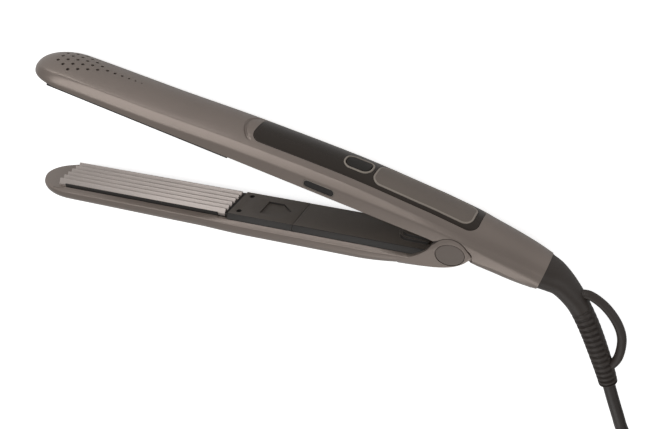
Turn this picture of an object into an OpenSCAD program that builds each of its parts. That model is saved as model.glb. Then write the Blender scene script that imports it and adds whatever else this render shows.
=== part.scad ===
// Hair crimper: two sprung arms with meshing ridged plates, a bent strain relief and a mains lead.
// It lies on its side: the hinge axis is Z, the upper arm and handle run along X, its top faces +Y.
// The origin is where the hinge axis meets the surface that the side walls rest on.

/* [Casing] */
// Width between the flat side walls
body_w = 31; // [30:0.25:32]
// Nose tip to hinge axis
nose_len = 233.5; // [231:0.5:238]
// Hinge axis to the end of the handle
tail_len = 42; // [40:0.5:45]
// Wall thickness of the painted shells
shell_t = 1.8; // [1.5:0.1:2]
// Length of the rounded nose
nose_round = 21; // [19:0.5:22]
// Height of the upper casing's edge over the hinge axis
edge_h = 4; // [3.7:0.1:4.3]
// Height of the upper side wall at the nose
nose_wall = 2.3; // [2:0.1:2.8]
// Height of the upper side wall at the panel
rear_wall = 6.4; // [5.6:0.1:7]
// Width of the bevel over the side wall
bevel_w = 2.1; // [1.6:0.1:2.6]
// Height of the bevel over the side wall
bevel_h = 4.2; // [3.6:0.1:4.6]
// Height of the crown over the bevel at the nose
nose_crown = 3.8; // [3.4:0.1:4.2]
// Height of the crown over the bevel at the panel
rear_crown = 4.4; // [4:0.1:4.8]
// Depth of the lower casing's rim below the hinge axis
rim_h = 4.4; // [4.2:0.1:4.8]
// Height of the lower side wall
low_wall = 3; // [2.6:0.1:3.4]
// Height of the lower bevel
low_bevel_h = 3; // [2.6:0.1:3.4]
// Height of the lower crown
low_crown = 2.8; // [2.4:0.1:3.2]

/* [Handle end] */
// Width of the oval end of the handle
end_w = 23.8; // [22:0.2:25]
// Height of the oval end of the handle
end_h = 15.3; // [14:0.1:16]
// Centre of the oval end above the hinge axis
end_y = 1.5; // [1.2:0.1:1.8]
// Lean of the handle's end face
end_tilt = 0.1; // [0.05:0.01:0.14]

/* [Vents] */
// Diameter of the largest vent holes
vent_d = 1.5; // [1:0.1:1.8]
// Step of the vent lattice along the arm
vent_step = 4.35; // [4:0.05:4.6]
// Step of the vent lattice across the arm
vent_rise = 2.2; // [2:0.05:2.4]
// Distance of the lattice's rear hole from the nose tip
vent_back = 39.5; // [38:0.5:42]

/* [Crimping plates] */
// Length of the plates
plate_len = 100; // [96:1:102]
// Width of the plates
plate_w = 22; // [21.6:0.1:22.4]
// Number of ridges on the lower plate
ridges = 6; // [5:1:7]
// Depth of the ridges
ridge_h = 2.2; // [1.8:0.1:2.4]
// Thickness of the plates under the ridges
plate_t = 1.4; // [1.2:0.1:1.6]
// Distance from the nose tip to the plates
plate_inset = 14.5; // [14:0.5:16]
// Gap from each ridge top to the hinge plane
crest_gap = 0.9; // [0.7:0.05:1]

/* [Hinge] */
// How far the jaw stands open at rest, in degrees
open_angle = 14; // [12:0.5:15]
// Radius of the cheek discs
cheek_r = 8.7; // [8.2:0.1:9]
// Thickness of the cheeks
cheek_t = 2.8; // [2.4:0.1:3]
// Diameter of the hinge pin
pin_d = 4; // [3.6:0.1:4.4]
// Length of the oval hinge caps
cap_len = 14; // [13:0.2:14.4]
// Height of the oval hinge caps
cap_h = 10.8; // [10:0.2:11]
// Thickness of the hinge caps
cap_t = 0.9; // [0.7:0.1:1.1]
// Gap between the arms' moving surfaces
move_gap = 0.4; // [0.3:0.05:0.5]
// Running clearance of the hinge pin in the cheeks
pin_gap = 0.05; // [0.03:0.01:0.08]

/* [Control panel] */
// Length of the black panel
panel_len = 116; // [114:1:118]
// Width of the black panel
panel_w = 20.4; // [19.6:0.2:21]
// Distance from the panel's rear end to the hinge axis
panel_back = 7.3; // [6:0.1:8]
// Thickness of the panel
panel_t = 0.9; // [0.8:0.1:1]
// Length of the button's ring
ring_len = 15; // [14:0.2:16]
// Width of the button's ring
ring_w = 11.2; // [10.6:0.2:12]
// Width of the ring's band
ring_band = 1; // [0.8:0.1:1.2]
// Distance from the button to the hinge axis
button_x = 55.8; // [54:0.2:57]
// Travel of the button
button_travel = 0.6; // [0.4:0.1:0.7]
// Length of the grey inlay
inlay_len = 51; // [48:0.5:52]
// Width of the grey inlay
inlay_w = 16.4; // [15.4:0.2:16.8]
// Distance from the inlay's centre to the hinge axis
inlay_x = 21.4; // [21:0.2:22]

/* [Side inserts] */
// Length of the oval inserts in the side walls
insert_len = 16; // [15:0.2:17]
// Height of the oval inserts
insert_h = 4; // [3.4:0.1:4.2]
// Distance from the inserts to the hinge axis
insert_x = 68.3; // [67:0.1:70]

/* [Lock] */
// Travel of the jaw lock
lock_travel = 5; // [4:0.5:5.5]
// Length of the lock's thumb piece
lock_len = 6.4; // [6:0.2:7]
// Width of the lock's thumb piece
lock_w = 7.4; // [7:0.2:8]
// Distance from the handle's end to the lock's thumb piece
lock_back = 16; // [15.6:0.1:16.4]

/* [Strain relief] */
// Diameter of the ribbed sleeve at its top
sleeve_d1 = 10.3; // [10:0.1:10.6]
// Diameter of the ribbed sleeve at its end
sleeve_d2 = 8.8; // [8.6:0.1:9.2]
// Number of ribs
ribs = 15; // [12:1:16]
// Depth of the grooves between the ribs
rib_depth = 0.8; // [0.5:0.1:1]
// Diameter of the hanging loop's strap
loop_d = 4.4; // [4:0.1:4.8]

/* [Cord] */
// Diameter of the mains lead
cord_d = 6; // [5.8:0.1:6.2]
// Radius of the innermost turn of the coil
coil_in = 27; // [25:0.5:28]
// Free space between neighbouring turns
coil_gap = 0.6; // [0.5:0.1:0.8]

/* [Inside] */
// Thickness of the inner covers at their edges
cover_t = 1.6; // [1.4:0.1:1.8]
// Width of the inner covers' flat middle
cover_flat_w = 22.4; // [21:0.2:23]
// Thread diameter of the screws
screw_d = 1.6; // [1.4:0.1:1.8]
// Diameter of the screw heads
screw_head_d = 2.6; // [2.4:0.1:3]
// Length of the circuit board
board_len = 48; // [44:1:50]
// Width of the circuit board
board_w = 16; // [15:0.5:18]
// Thickness of the circuit board
board_t = 1.2; // [1:0.1:1.6]
// Thickness of the heaters
heater_t = 2; // [1.6:0.1:2.2]
// Wire diameter of the opening spring
spring_wire = 1; // [0.8:0.1:1.1]

/* [Plug] */
// Width of the plug across its pins
plug_w = 35; // [33:0.5:37]
// Height of the plug
plug_h = 15; // [14:0.5:16]
// Length of the plug's body
plug_l = 24; // [22:0.5:26]
// Length of the plug's neck
plug_neck = 16; // [14:0.5:18]
// Diameter of the plug's pins
plug_pin_d = 4.8; // [4.76:0.01:4.84]
// Length of the plug's pins
plug_pin_len = 19; // [18.5:0.5:19]
// Distance between the plug's pins
plug_pin_space = 19; // [18:0.5:19]

/* [Hidden] */
$fn = 48;

hw = body_w/2;
grey = [0.46, 0.42, 0.40];
dark_grey = [0.39, 0.36, 0.33];
black = [0.17, 0.155, 0.14];
silver = [0.75, 0.71, 0.69];
steel = [0.62, 0.62, 0.64];

// Blending helpers
function mix(a, b, t) = a + (b - a)*t;
function clip(v) = min(max(v, 0), 1);
function bulge(u, n) = pow(max(1 - pow(clip(u), n), 0.0001), 1/n);

// ---------- Casing sections ----------
// A half section runs from the bottom centre round the side to the top centre, as [z, y] pairs
crown_steps = 6;
oval_angles = [-90, -72, -60, -50, -40, -28, -8, 22, 33, 44, 55, 66, 78, 90];
function arm_half(w, yb, rb, yw, bw, yc, yt) = concat(
    [[0, yb], [w*0.5, yb]],
    [for (a = [-90:30:0]) [w - rb + rb*cos(a), yb + rb + rb*sin(a)]],
    [[w, yw], [w - bw, yc]],
    [for (i = [1:crown_steps]) let (s = 1 - i/crown_steps) [(w - bw)*s, yt - (yt - yc)*s*s]]);
function oval_half(a, b, y) = [for (t = oval_angles) [a*cos(t), y + b*sin(t)]];
function ring(x, half, lean = 0) = let (n = len(half)) concat(
    [for (p = half) [x + lean*(p[1] - end_y), p[1], p[0]]],
    [for (i = [n - 2:-1:1]) [x + lean*(half[i][1] - end_y), half[i][1], -half[i][0]]]);

// A closed solid through rings of equal point counts; each end is closed by a fan from one corner,
// or by a ladder between the ring's two halves
module loft(rings, corner = -1) {
    m = len(rings);
    n = len(rings[0]);
    last = (m - 1)*n;
    points = [for (r = rings) each r];
    sides = [for (i = [0:m - 2], j = [0:n - 1]) let (k = (j + 1)%n, a = i*n + j, b = i*n + k)
             each [[a, b + n, a + n], [a, b, b + n]]];
    fan = [for (j = [1:n - 2]) [corner, (corner + j)%n, (corner + j + 1)%n]];
    ladder = [for (j = [0:n/2 - 2]) let (k = n - 1 - j) each [[j, j + 1, k - 1], [j, k - 1, k]]];
    caps = corner < 0 ? ladder : fan;
    ends = [for (c = caps) each [[c[2], c[1], c[0]], [last + c[0], last + c[1], last + c[2]]]];
    polyhedron(points = points, faces = concat(sides, ends), convexity = 6);
}

// Nose stations, as shares of the rounded length, from the tip backwards
nose_shares = [0.994, 0.97, 0.925, 0.86, 0.76, 0.62, 0.44, 0.22, 0];
nose_x0 = -nose_len + nose_round;
nose_rise = 4;
function plan_share(x, t) = bulge((nose_x0 - x)/(nose_round - t), 2.15);
function height_share(x, t) = bulge((nose_x0 + nose_rise - x)/(nose_round + nose_rise - t), 2.3);

// Upper casing: t is an inset from the outside, used for the hollow
edge_end = -12;
function upper_bottom(x) = lookup(x, [[edge_end, edge_h], [0, edge_h - 2], [11, -1.1], [20, -2.7],
                                      [tail_len, end_y - end_h/2]]);
function upper_corner(x) = lookup(x, [[edge_end, 0.6], [11, 3.4], [24, 6], [tail_len, 6.5]]);
function upper_wall(x) = lookup(x, [[-nose_len, nose_wall], [-165, nose_wall + 1], [-110, rear_wall - 0.7],
                                    [-60, rear_wall], [10, rear_wall - 0.4]]);
function upper_bevel(x) = lookup(x, [[-nose_len, bevel_h - 0.2], [-165, bevel_h + 0.4],
                                     [-110, bevel_h], [-60, bevel_h - 0.1], [-20, bevel_h - 1.4],
                                     [10, bevel_h - 2.5]]);
function upper_crown(x) = lookup(x, [[-nose_len + 30, nose_crown], [-110, rear_crown]]);
function tail_share(x) = lookup(x, [[-14, 0], [4, 0.08], [14, 0.25], [25, 0.47], [35, 0.74], [tail_len, 1]]);
function upper_half(x, t) =
    let (f = plan_share(x, t), g = height_share(x, t), w = (hw - t)*f, base = upper_bottom(x),
         b = base + (t > 0 ? (x < edge_end + 1 ? -1 : t) : 0), e = max(edge_h, base),
         wall = upper_wall(x)*g, crease = wall + upper_bevel(x)*g, top = crease + upper_crown(x)*g,
         arm = arm_half(w, b, upper_corner(x)*min(f, g), e + wall - t*0.3, bevel_w*f, e + crease - t*0.8,
                        e + top - t),
         oval = oval_half(end_w/2 - t, end_h/2 - t, end_y))
    [for (i = [0:len(arm) - 1]) mix(arm[i], oval[i], tail_share(x))];
upper_rear = [-200, -180, -150, -120, -95, -70, -45, -28, -18, -12, -5, 2, 8, 14, 20, 26, 32, 37];
hollow_x0 = -nose_len + 12.5;
end_wall = 6;
module upper_casing(t) {
    nose = [for (u = nose_shares) nose_x0 - u*nose_round];
    stations = t == 0 ? concat(nose, upper_rear, [tail_len])
                      : concat([hollow_x0, nose_x0 - 4, nose_x0],
                               [for (x = upper_rear) if (x < tail_len - end_wall - 1) x],
                               [tail_len - end_wall]);
    loft([for (x = stations) ring(x, upper_half(x, t), end_tilt*tail_share(x))],
         len(upper_half(0, 0)) - 1);
}

// Lower casing, in the jaw's own frame, where the hinge is at the origin and the rim looks to +Y
function rim_outer(x) = lookup(x, [[-132, rim_h + 0.8], [-106, rim_h + 1.6], [-45, rim_h + 1.6],
                                   [-24, rim_h + 0.9]]);
function low_taper(x) = lookup(x, [[-nose_len, 1.3], [-110, 0]]);
function low_side(x) = rim_outer(x) + low_wall;
function lower_half(x, t) =
    let (f = plan_share(x, t), g = height_share(x, t), w = (hw - t)*f, inside = t > 0 ? 1 : 0,
         side = mix(rim_outer(x), low_side(x), g), crease = side + low_bevel_h*g, base = crease + low_crown*g,
         e = clip((x + 50)/38), lift = (e*e*4 + low_taper(x))*g)
    [for (p = [[0, base - t - lift], [w*0.3, mix(crease, base, 0.9) - t - lift],
               [w*0.62, mix(crease, base, 0.62) - t - lift], [w - 1.6*f, crease - t*0.8 - lift*0.8],
               [w, side - lift*0.4], [w, rim_outer(x) - inside*2.6], [w - 2.2*f, rim_h - inside],
               [w*0.5, rim_h - inside], [0, rim_h - inside]]) [p[0], -p[1]]];
lower_rear = [-200, -170, -132, -106, -75, -45, -36, -30, -24, -20];
module facing_down() {
    mirror([0, 1, 0])
        children();
}
module lower_casing(t) {
    nose = [for (u = nose_shares) nose_x0 - u*nose_round];
    stations = t == 0 ? concat(nose, lower_rear, [-12])
                      : concat([hollow_x0, nose_x0 - 4, nose_x0], lower_rear, [-16]);
    loft([for (x = stations) ring(x, lower_half(x, t))], 0);
}

// ---------- Surfaces that follow the casing ----------
// Height of the crown and of the belly at a place on the upper arm
function crown_at(x, z) = let (h = upper_half(x, 0), n = len(h) - 1)
    lookup(abs(z), [for (i = [0:crown_steps]) [h[n - i][0], h[n - i][1]]]);
function belly_at(x, z) = let (h = upper_half(x, 0)) lookup(abs(z), [for (i = [0:4]) [h[i][0], h[i][1]]]);
sheet_steps = 8;
// A sheet with rounded corners that follows the crown or the belly, from lo to hi off that surface
module sheet(x0, x1, w, r, lo, hi, on_crown) {
    front = [for (a = [0:30:60]) [x0 + r*(1 - cos(a)), w/2 - r*(1 - sin(a))]];
    back = [for (a = [60:-30:0]) [x1 - r*(1 - cos(a)), w/2 - r*(1 - sin(a))]];
    middle = [for (x = upper_rear) if (x > x0 + r && x < x1 - r) [x, w/2]];
    loft([for (p = concat(front, [[x0 + r, w/2]], middle, [[x1 - r, w/2]], back))
        let (zs = [for (i = [0:sheet_steps]) p[1]*(2*i/sheet_steps - 1)])
        concat([for (z = zs) [p[0], (on_crown ? crown_at(p[0], z) : belly_at(p[0], z)) + lo, z]],
               [for (z = zs) [p[0], (on_crown ? crown_at(p[0], z) : belly_at(p[0], z)) + hi, -z]])]);
}

// ---------- Swept tubes ----------
function unit(v) = v/norm(v);
// A point of the smooth curve through a list of points, at t counted in points
function along(p, t) =
    let (m = len(p) - 1, i = min(floor(t), m - 1), f = t - i,
         a = p[max(i - 1, 0)], b = p[i], c = p[i + 1], d = p[min(i + 2, m)])
    0.5*(2*b + (c - a)*f + (2*a - 5*b + 4*c - d)*f*f + (3*b - 3*c + d - a)*f*f*f);
function tube_ring(p, t, r, n) = let (s = unit(cross([0, 0, 1], t)), u = cross(t, s))
    [for (i = [0:n - 1]) p + r*(s*cos(360*i/n) - u*sin(360*i/n))];
module tube(path, d, n) {
    m = len(path) - 1;
    loft([for (i = [0:m]) tube_ring(path[i], unit(path[min(i + 1, m)] - path[max(i - 1, 0)]), d/2, n)]);
}

// ---------- Placing ----------
// The arms are drawn about their middle plane and lifted by half the width
module on_side() {
    translate([0, 0, hw])
        children();
}
module on_jaw() {
    on_side()
        rotate([0, 0, open_angle])
            children();
}
// A slab across the arm, drawn as a flat shape seen along Z
module slab(z0, z1) {
    translate([0, 0, z0])
        linear_extrude(z1 - z0)
            children();
}
module block(x0, x1, y0, y1, w) {
    translate([x0, y0, -w/2])
        cube([x1 - x0, y1 - y0, w]);
}
// Anything drawn upwards along Z is stood along the arm's +Y
module upright(x, y, z) {
    translate([x, y, z])
        rotate([-90, 0, 0])
            children();
}
// A flat shape seen along X, drawn in Y and Z, made into a bar from x0 to x1
module bar(x0, x1) {
    translate([x0, 0, 0])
        rotate([90, 0, 90])
            linear_extrude(x1 - x0)
                children();
}
module round_rect(l, w, r) {
    union() {
        square([l - 2*r, w], center = true);
        square([l, w - 2*r], center = true);
        for (sx = [-1, 1], sy = [-1, 1])
            translate([sx*(l/2 - r), sy*(w/2 - r)])
                circle(r);
    }
}
module round_plate(l, w, h, r) {
    linear_extrude(h)
        round_rect(l, w, r);
}
// A round rod between two points
module rod(a, b, d) {
    v = b - a;
    translate(a)
        rotate([0, acos(v[2]/norm(v)), atan2(v[1], v[0])])
            cylinder(d = d, h = norm(v));
}
module both_sides() {
    children();
    mirror([0, 0, 1])
        children();
}

// ---------- Shared places ----------
fit = 0.1;
seat_gap = 0.04;
plate_x0 = -nose_len + plate_inset;
plate_x1 = plate_x0 + plate_len;
plate_mid = (plate_x0 + plate_x1)/2;
pitch = plate_w/ridges;
ridge_flat = 0.4;
valley_y = crest_gap + ridge_h;
plate_back = valley_y + plate_t;
low_t = shell_t + 0.4;
block_w = body_w - 2*cheek_t - 2*move_gap;
barrel_r = 6.4;
close_angle = open_angle + 0.5;
carrier_x0 = hollow_x0 + 0.4;
carrier_x1 = plate_x1 + 1.6;
carrier_half = hw - shell_t - 1.9;
flat_y = 1.9;
flat_half = cover_flat_w/2;
heater_len = plate_len*0.6;
heater_w = 14;
pad_t = 0.8;
clip_t = 0.6;
clip_w = 9;
cover_x0 = carrier_x1 + 0.4;
cover_end = -13;
low_cover_end = -11.5;
screw_x = cover_x0 + 4.4;
screw_z = 7.6;
screw_head_t = 1;
split_x = cover_x0 + 35.5;

// ---------- Upper arm ----------
vent_tail = [[4.4, 0.85], [8.4, 0.75], [12.2, 0.65], [16, 0.55], [19.8, 0.45]];
module vents() {
    apex = -nose_len + vent_back;
    for (i = [0:4], j = [0:4])
        if (i + j <= 6)
            upright(apex - (i + j)*vent_step, edge_h + 4, (i - j)*vent_rise)
                cylinder(d = vent_d, h = 12, $fn = 16);
    for (v = vent_tail)
        upright(apex + v[0], edge_h + 4, 0)
            cylinder(d = vent_d*v[1], h = 12, $fn = 16);
}

// Columns whose outlines the panel's pieces share
ring_r = 4.6;
button_y = crown_at(-button_x, 0);
module ring_column(grow, y0, y1) {
    upright(-button_x, y0, 0)
        round_plate(ring_len + 2*grow, ring_w + 2*grow, y1 - y0, ring_r + grow);
}
panel_r = 5;
inlay_r = 5;
inlay_t = 0.5;
module panel_sheet(grow, lo, hi) {
    sheet(panel_back - panel_len - grow, panel_back + grow, panel_w + 2*grow, panel_r + grow, lo, hi, true);
}
module inlay_sheet(grow, lo, hi) {
    sheet(-inlay_x - inlay_len/2 - grow, -inlay_x + inlay_len/2 + grow, inlay_w + 2*grow, inlay_r + grow,
          lo, hi, true);
}
insert_y = edge_h + 3.6;
insert_t = 1;
module insert_shape(grow) {
    translate([-insert_x, insert_y])
        round_rect(insert_len + 2*grow, insert_h + 2*grow, insert_h*0.49 + grow);
}

// Outline of a cheek: an arc over the pin, a rear tip and a sweep down into the arm
cheek_arc = [for (a = [145:-15:40]) cheek_r*[cos(a), sin(a)]];
cheek_tip = [10, 0.7];
cheek_x0 = -26;
cheek_low = [[9.1, -0.6], [7.4, -2.3], [5.1, -4], [1.7, -5.7], [-1.7, -6.8], [-5.8, -7.6], [-10, -8.2],
             [-15.6, -9], [-22.7, -9.8], [cheek_x0, -10.1]];
cheek_front = [[cheek_x0, -rim_outer(cheek_x0)], [-16.4, -2.3], [-12.9, -0.6], [-10.1, 1.9], [-8.4, 4.6]];
module cheek_outline() {
    polygon(concat(cheek_arc, [[7.9, 3.9], cheek_tip], cheek_low, cheek_front));
}
// Room for the cheek's whole swing in the side of the upper arm
cheek_reach = norm(cheek_tip) + move_gap;
module cheek_room() {
    union() {
        circle(cheek_r + move_gap);
        polygon(concat([[0, 0]], [for (a = [-8:6:34]) cheek_reach*[cos(a), sin(a)]]));
        polygon(concat([[0, 0]], [for (a = [130:10:170]) (cheek_reach + 0.3)*[cos(a), sin(a)]]));
    }
}

// The handle's underside is closed by a cover
hatch_x0 = tail_len - 28;
lock_x = tail_len - lock_back;
hatch_x1 = tail_len - 1.6;
hatch_w = 17.6;
hatch_r = 3;
hatch_t = shell_t + 0.4;
hatch_screw_x = tail_len - 3.7;
hatch_screw_z = 6.4;
hatch_screw_y = belly_at(hatch_screw_x, hatch_screw_z);
hatch_screw_in = 0.2;
spigot_d = 9;
groove_d = 7;
clip_x = tail_len - end_wall - 2.2;
slot_x0 = lock_x - lock_len/2 + 1 - lock_travel;
slot_x1 = lock_x + lock_len/2 - 1;
slot_w = 3.6;

// Ribs and rails that hold the covers, the board and the plate carriers; their backs are the seats
cover_back = edge_h + cover_t;
rear_screw_x = split_x + 11;
rib_w = 6;
rail_z = 10.4;
module rails(y) {
    both_sides()
        slab(rail_z, hw)
            translate([nose_x0, y])
                square([plate_x1 - nose_x0 - 3, 12]);
}
module upper_ribs() {
    union() {
        block(-barrel_r - 3, barrel_r + 3, 0, edge_h + 4.6, block_w);
        block(screw_x - rib_w/2, screw_x + rib_w/2, cover_back, cover_back + 5, body_w);
        block(rear_screw_x - rib_w/2, rear_screw_x + rib_w/2, cover_back, board_top - board_t, body_w);
        block(board_x1 - 8, board_x1 - 4, cover_back, board_top - board_t, body_w);
        rails(carrier_back);
    }
}
spring_r = 3.5;
spring_room = 0.6;
spring_turns = 3;
spring_half = spring_turns*0.45 + spring_wire/2 + spring_room;
screw_depth = 4;

module upper_shell() {
    color(grey)
        on_side()
            difference() {
                union() {
                    difference() {
                        upper_casing(0);
                        difference() {
                            upper_casing(shell_t);
                            upper_ribs();
                        }
                    }
                    cylinder(r = barrel_r, h = block_w, center = true);
                }
                vents();
                panel_sheet(fit, -panel_t, 2);
                ring_column(-ring_band, button_y - 6, button_y + 2);
                both_sides()
                    union() {
                        slab(hw - insert_t, hw + 1)
                            insert_shape(fit);
                        slab(block_w/2, hw + 1)
                            cheek_room();
                    }
                cylinder(d = pin_d, h = body_w, center = true);
                cylinder(r = spring_r + spring_wire/2 + spring_room, h = 2*spring_half, center = true);
                block(-barrel_r - 4, 0, -spring_r - spring_wire, spring_r + spring_wire, 2*spring_half);
                for (x = [screw_x, rear_screw_x], z = [-1, 1])
                    upright(x, edge_h, z*screw_z)
                        cylinder(d = screw_d, h = screw_depth);
                sheet(hatch_x0 - fit, hatch_x1 + fit, hatch_w + 2*fit, hatch_r, -2, hatch_t, false);
                for (z = [-1, 1])
                    upright(hatch_screw_x, hatch_screw_y, z*hatch_screw_z)
                        cylinder(d = screw_d, h = screw_depth + 3);
                translate([tail_len - end_wall - 1, end_y, 0])
                    rotate([0, 90, 0])
                        cylinder(d = spigot_d, h = end_wall + 2);
            }
}

module handle_cover() {
    color(dark_grey)
        on_side()
            difference() {
                sheet(hatch_x0, hatch_x1, hatch_w, hatch_r, 0, hatch_t - seat_gap, false);
                translate([(slot_x0 + slot_x1)/2, 2, 0])
                    rotate([90, 0, 0])
                        round_plate(slot_x1 - slot_x0, slot_w, 12, slot_w*0.4);
                for (z = [-1, 1])
                    upright(hatch_screw_x, hatch_screw_y - 2, z*hatch_screw_z)
                        union() {
                            cylinder(d = screw_d + 0.2, h = 6);
                            cylinder(d = screw_head_d + 0.2, h = 2 + hatch_screw_in + screw_head_t);
                        }
            }
}

module handle_screws() {
    color(steel)
        on_side()
            for (z = [-1, 1])
                upright(hatch_screw_x, hatch_screw_y + hatch_screw_in, z*hatch_screw_z)
                    union() {
                        cylinder(d = screw_head_d, h = screw_head_t);
                        cylinder(d = screw_d, h = screw_head_t + screw_depth);
                    }
}

// The lock's thumb piece slides in the cover's slot and is held by a flange inside
lock_slope = atan((belly_at(lock_x + 3, 0) - belly_at(lock_x - 8, 0))/11);
echo(lock_axis = [-cos(lock_slope), -sin(lock_slope)]);
thumb_t = 1.2;
flange_y = hatch_t + move_gap;
module lock_slider() {
    color(black)
        on_side()
            translate([lock_x, belly_at(lock_x, 0), 0])
                rotate([0, 0, lock_slope])
                    union() {
                        block(-lock_len/2, lock_len/2, -move_gap - thumb_t, -move_gap, lock_w);
                        block(-lock_len/2 + 2.1, lock_len/2 - 2.1, -move_gap - 0.1, flange_y + 0.1,
                              slot_w - 0.6);
                        block(-lock_len/2, lock_len/2, flange_y, flange_y + 0.8, lock_w);
                    }
}

// Inner cover of an arm: a flat strip with bevelled edges
module cover_section(half, flat_half, y_flat, y_edge, t) {
    polygon([[y_edge, -half], [y_flat, -flat_half], [y_flat, flat_half], [y_edge, half],
             [y_edge + t, half], [y_edge + t, -half]]);
}
upper_cover_half = hw - shell_t - 0.3;
boss_room_x = -32;
module upper_inner_cover() {
    color(black)
        on_side()
            difference() {
                bar(cover_x0, cover_end)
                    cover_section(upper_cover_half, flat_half, flat_y, edge_h, cover_t);
                block(boss_room_x, cover_end + 1, 0, 3.2, 16);
                for (x = [screw_x, rear_screw_x], z = [-1, 1])
                    upright(x, 0, z*screw_z)
                        union() {
                            cylinder(d = screw_d + 0.2, h = edge_h + cover_t + 1);
                            cylinder(d = screw_head_d + 0.2, h = flat_y + screw_head_t + 0.6);
                        }
            }
}

module upper_cover_screws() {
    color(steel)
        on_side()
            for (x = [screw_x, rear_screw_x], z = [-1, 1])
                upright(x, flat_y + 0.6, z*screw_z)
                    union() {
                        cylinder(d = screw_head_d, h = screw_head_t);
                        cylinder(d = screw_d, h = edge_h + screw_depth - flat_y - 0.9);
                    }
}

// ---------- Heated plates ----------
// The plates face each other; the lower one's crests stand in the upper one's valleys
function crest_profile(list) = [for (c = list) each [[c - pitch/2 + ridge_flat/2, valley_y],
    [c - ridge_flat/2, crest_gap], [c + ridge_flat/2, crest_gap], [c + pitch/2 - ridge_flat/2, valley_y]]];
module plate_section(list) {
    polygon([for (p = concat([[-plate_w/2, plate_back], [-plate_w/2, valley_y]], crest_profile(list),
                             [[plate_w/2, valley_y], [plate_w/2, plate_back]])) [p[1], p[0]]]);
}
low_crests = [for (i = [0:ridges - 1]) (i - (ridges - 1)/2)*pitch];
up_crests = [for (i = [0:ridges - 2]) (i - (ridges - 2)/2)*pitch];
// Tray behind a plate: a skirt outside the casing, a body inside it and a window for the heater
module plate_carrier(skirt_half, y0, y1, step_y) {
    difference() {
        union() {
            block(carrier_x0, carrier_x1, y0, step_y, 2*skirt_half);
            block(carrier_x0, carrier_x1, step_y - 0.1, y1, 2*carrier_half);
        }
        block(plate_x0 - fit, plate_x1 + fit, 0, plate_back, plate_w + 2*fit);
        block(plate_mid - heater_len/2 - 1, plate_mid + heater_len/2 + 1, 0, 12, heater_w + 2);
    }
}
module heater(y0) {
    block(plate_mid - heater_len/2, plate_mid + heater_len/2, y0, y0 + heater_t, heater_w);
}
module heater_clip(y0) {
    for (x = [-0.3, 0.3])
        block(plate_mid + x*heater_len - clip_w/2, plate_mid + x*heater_len + clip_w/2, y0, y0 + clip_t, 19);
}
carrier_back = plate_back + heater_t + pad_t;

module upper_plate_carrier() {
    color(black)
        on_side()
            plate_carrier(hw - shell_t - 0.5, flat_y, carrier_back, edge_h - 0.1);
}
module upper_crimp_plate() {
    color(silver)
        on_side()
            bar(plate_x0, plate_x1)
                plate_section(up_crests);
}
module upper_heater() {
    color([0.9, 0.88, 0.84])
        on_side()
            heater(plate_back);
}
module upper_insulator() {
    color([0.83, 0.78, 0.62])
        on_side()
            block(plate_mid - heater_len/2, plate_mid + heater_len/2, plate_back + heater_t, carrier_back,
                  heater_w);
}
module upper_heater_clip() {
    color(steel)
        on_side()
            heater_clip(carrier_back);
}
fuse_d = 3;
module thermal_fuse() {
    color([0.85, 0.83, 0.8])
        on_side()
            translate([plate_mid - 6, carrier_back + fuse_d/2, 0])
                rotate([0, 90, 0])
                    cylinder(d = fuse_d, h = 12);
}

// ---------- Control panel ----------
module control_panel() {
    color(black)
        on_side()
            difference() {
                panel_sheet(0, seat_gap - panel_t, 0);
                inlay_sheet(fit, -inlay_t, 2);
                ring_column(fit, button_y - 6, button_y + 3);
            }
}
module panel_inlay() {
    color(grey)
        on_side()
            inlay_sheet(0, seat_gap - inlay_t, 0);
}
// The ring and the button share the crown's curve across the arm
crown_r = 20;
module crown_log(y) {
    translate([-button_x, y - crown_r, 0])
        rotate([0, 90, 0])
            cylinder(r = crown_r, h = ring_len + 6, center = true, $fn = 96);
}
module button_bezel() {
    color(grey)
        on_side()
            difference() {
                intersection() {
                    ring_column(0, button_y - 4, button_y + 1);
                    crown_log(button_y + 0.25);
                }
                ring_column(-ring_band, button_y - 5, button_y + 2);
                crown_log(button_y - panel_t);
            }
}
button_flange_y = button_y - shell_t - 2.2;
module power_button() {
    color(black)
        on_side()
            union() {
                intersection() {
                    ring_column(-ring_band - 0.35, button_flange_y, button_y + 2);
                    crown_log(button_y + 0.1);
                }
                ring_column(0, button_flange_y - 1, button_flange_y);
            }
}
switch_top = button_flange_y - 1 - button_travel - 0.35;
board_top = switch_top - 3.4;
board_x0 = -button_x - 18.2;
board_x1 = board_x0 + board_len;
module tact_switch() {
    color([0.25, 0.25, 0.26])
        on_side()
            union() {
                block(-button_x - 3, -button_x + 3, board_top, switch_top - 0.8, 6);
                upright(-button_x, switch_top - 0.9, 0)
                    cylinder(d = 2.6, h = 0.9);
            }
}
module circuit_board() {
    color([0.2, 0.38, 0.25])
        on_side()
            block(board_x0, board_x1, board_top - board_t, board_top, board_w);
}
lead_d = 1.8;
lead_y = board_top + lead_d/2 + 0.3;
lead_route = [[board_x1 - 10, lead_y, 0], [4, lead_y, 0], [12, lead_y - 0.9, 0], [22, 6.2, 0], [28, 3, 0],
              [clip_x - 2.5, end_y, 0]];
module inner_leads() {
    color([0.55, 0.2, 0.16])
        on_side()
            for (z = [-1, 1])
                translate([0, 0, 2*z])
                    tube(lead_route, lead_d, 8);
}
module side_insert_near() {
    color(black)
        on_side()
            slab(hw - insert_t, hw)
                insert_shape(0);
}
module side_insert_far() {
    color(black)
        on_side()
            slab(-hw, -hw + insert_t)
                insert_shape(0);
}

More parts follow.
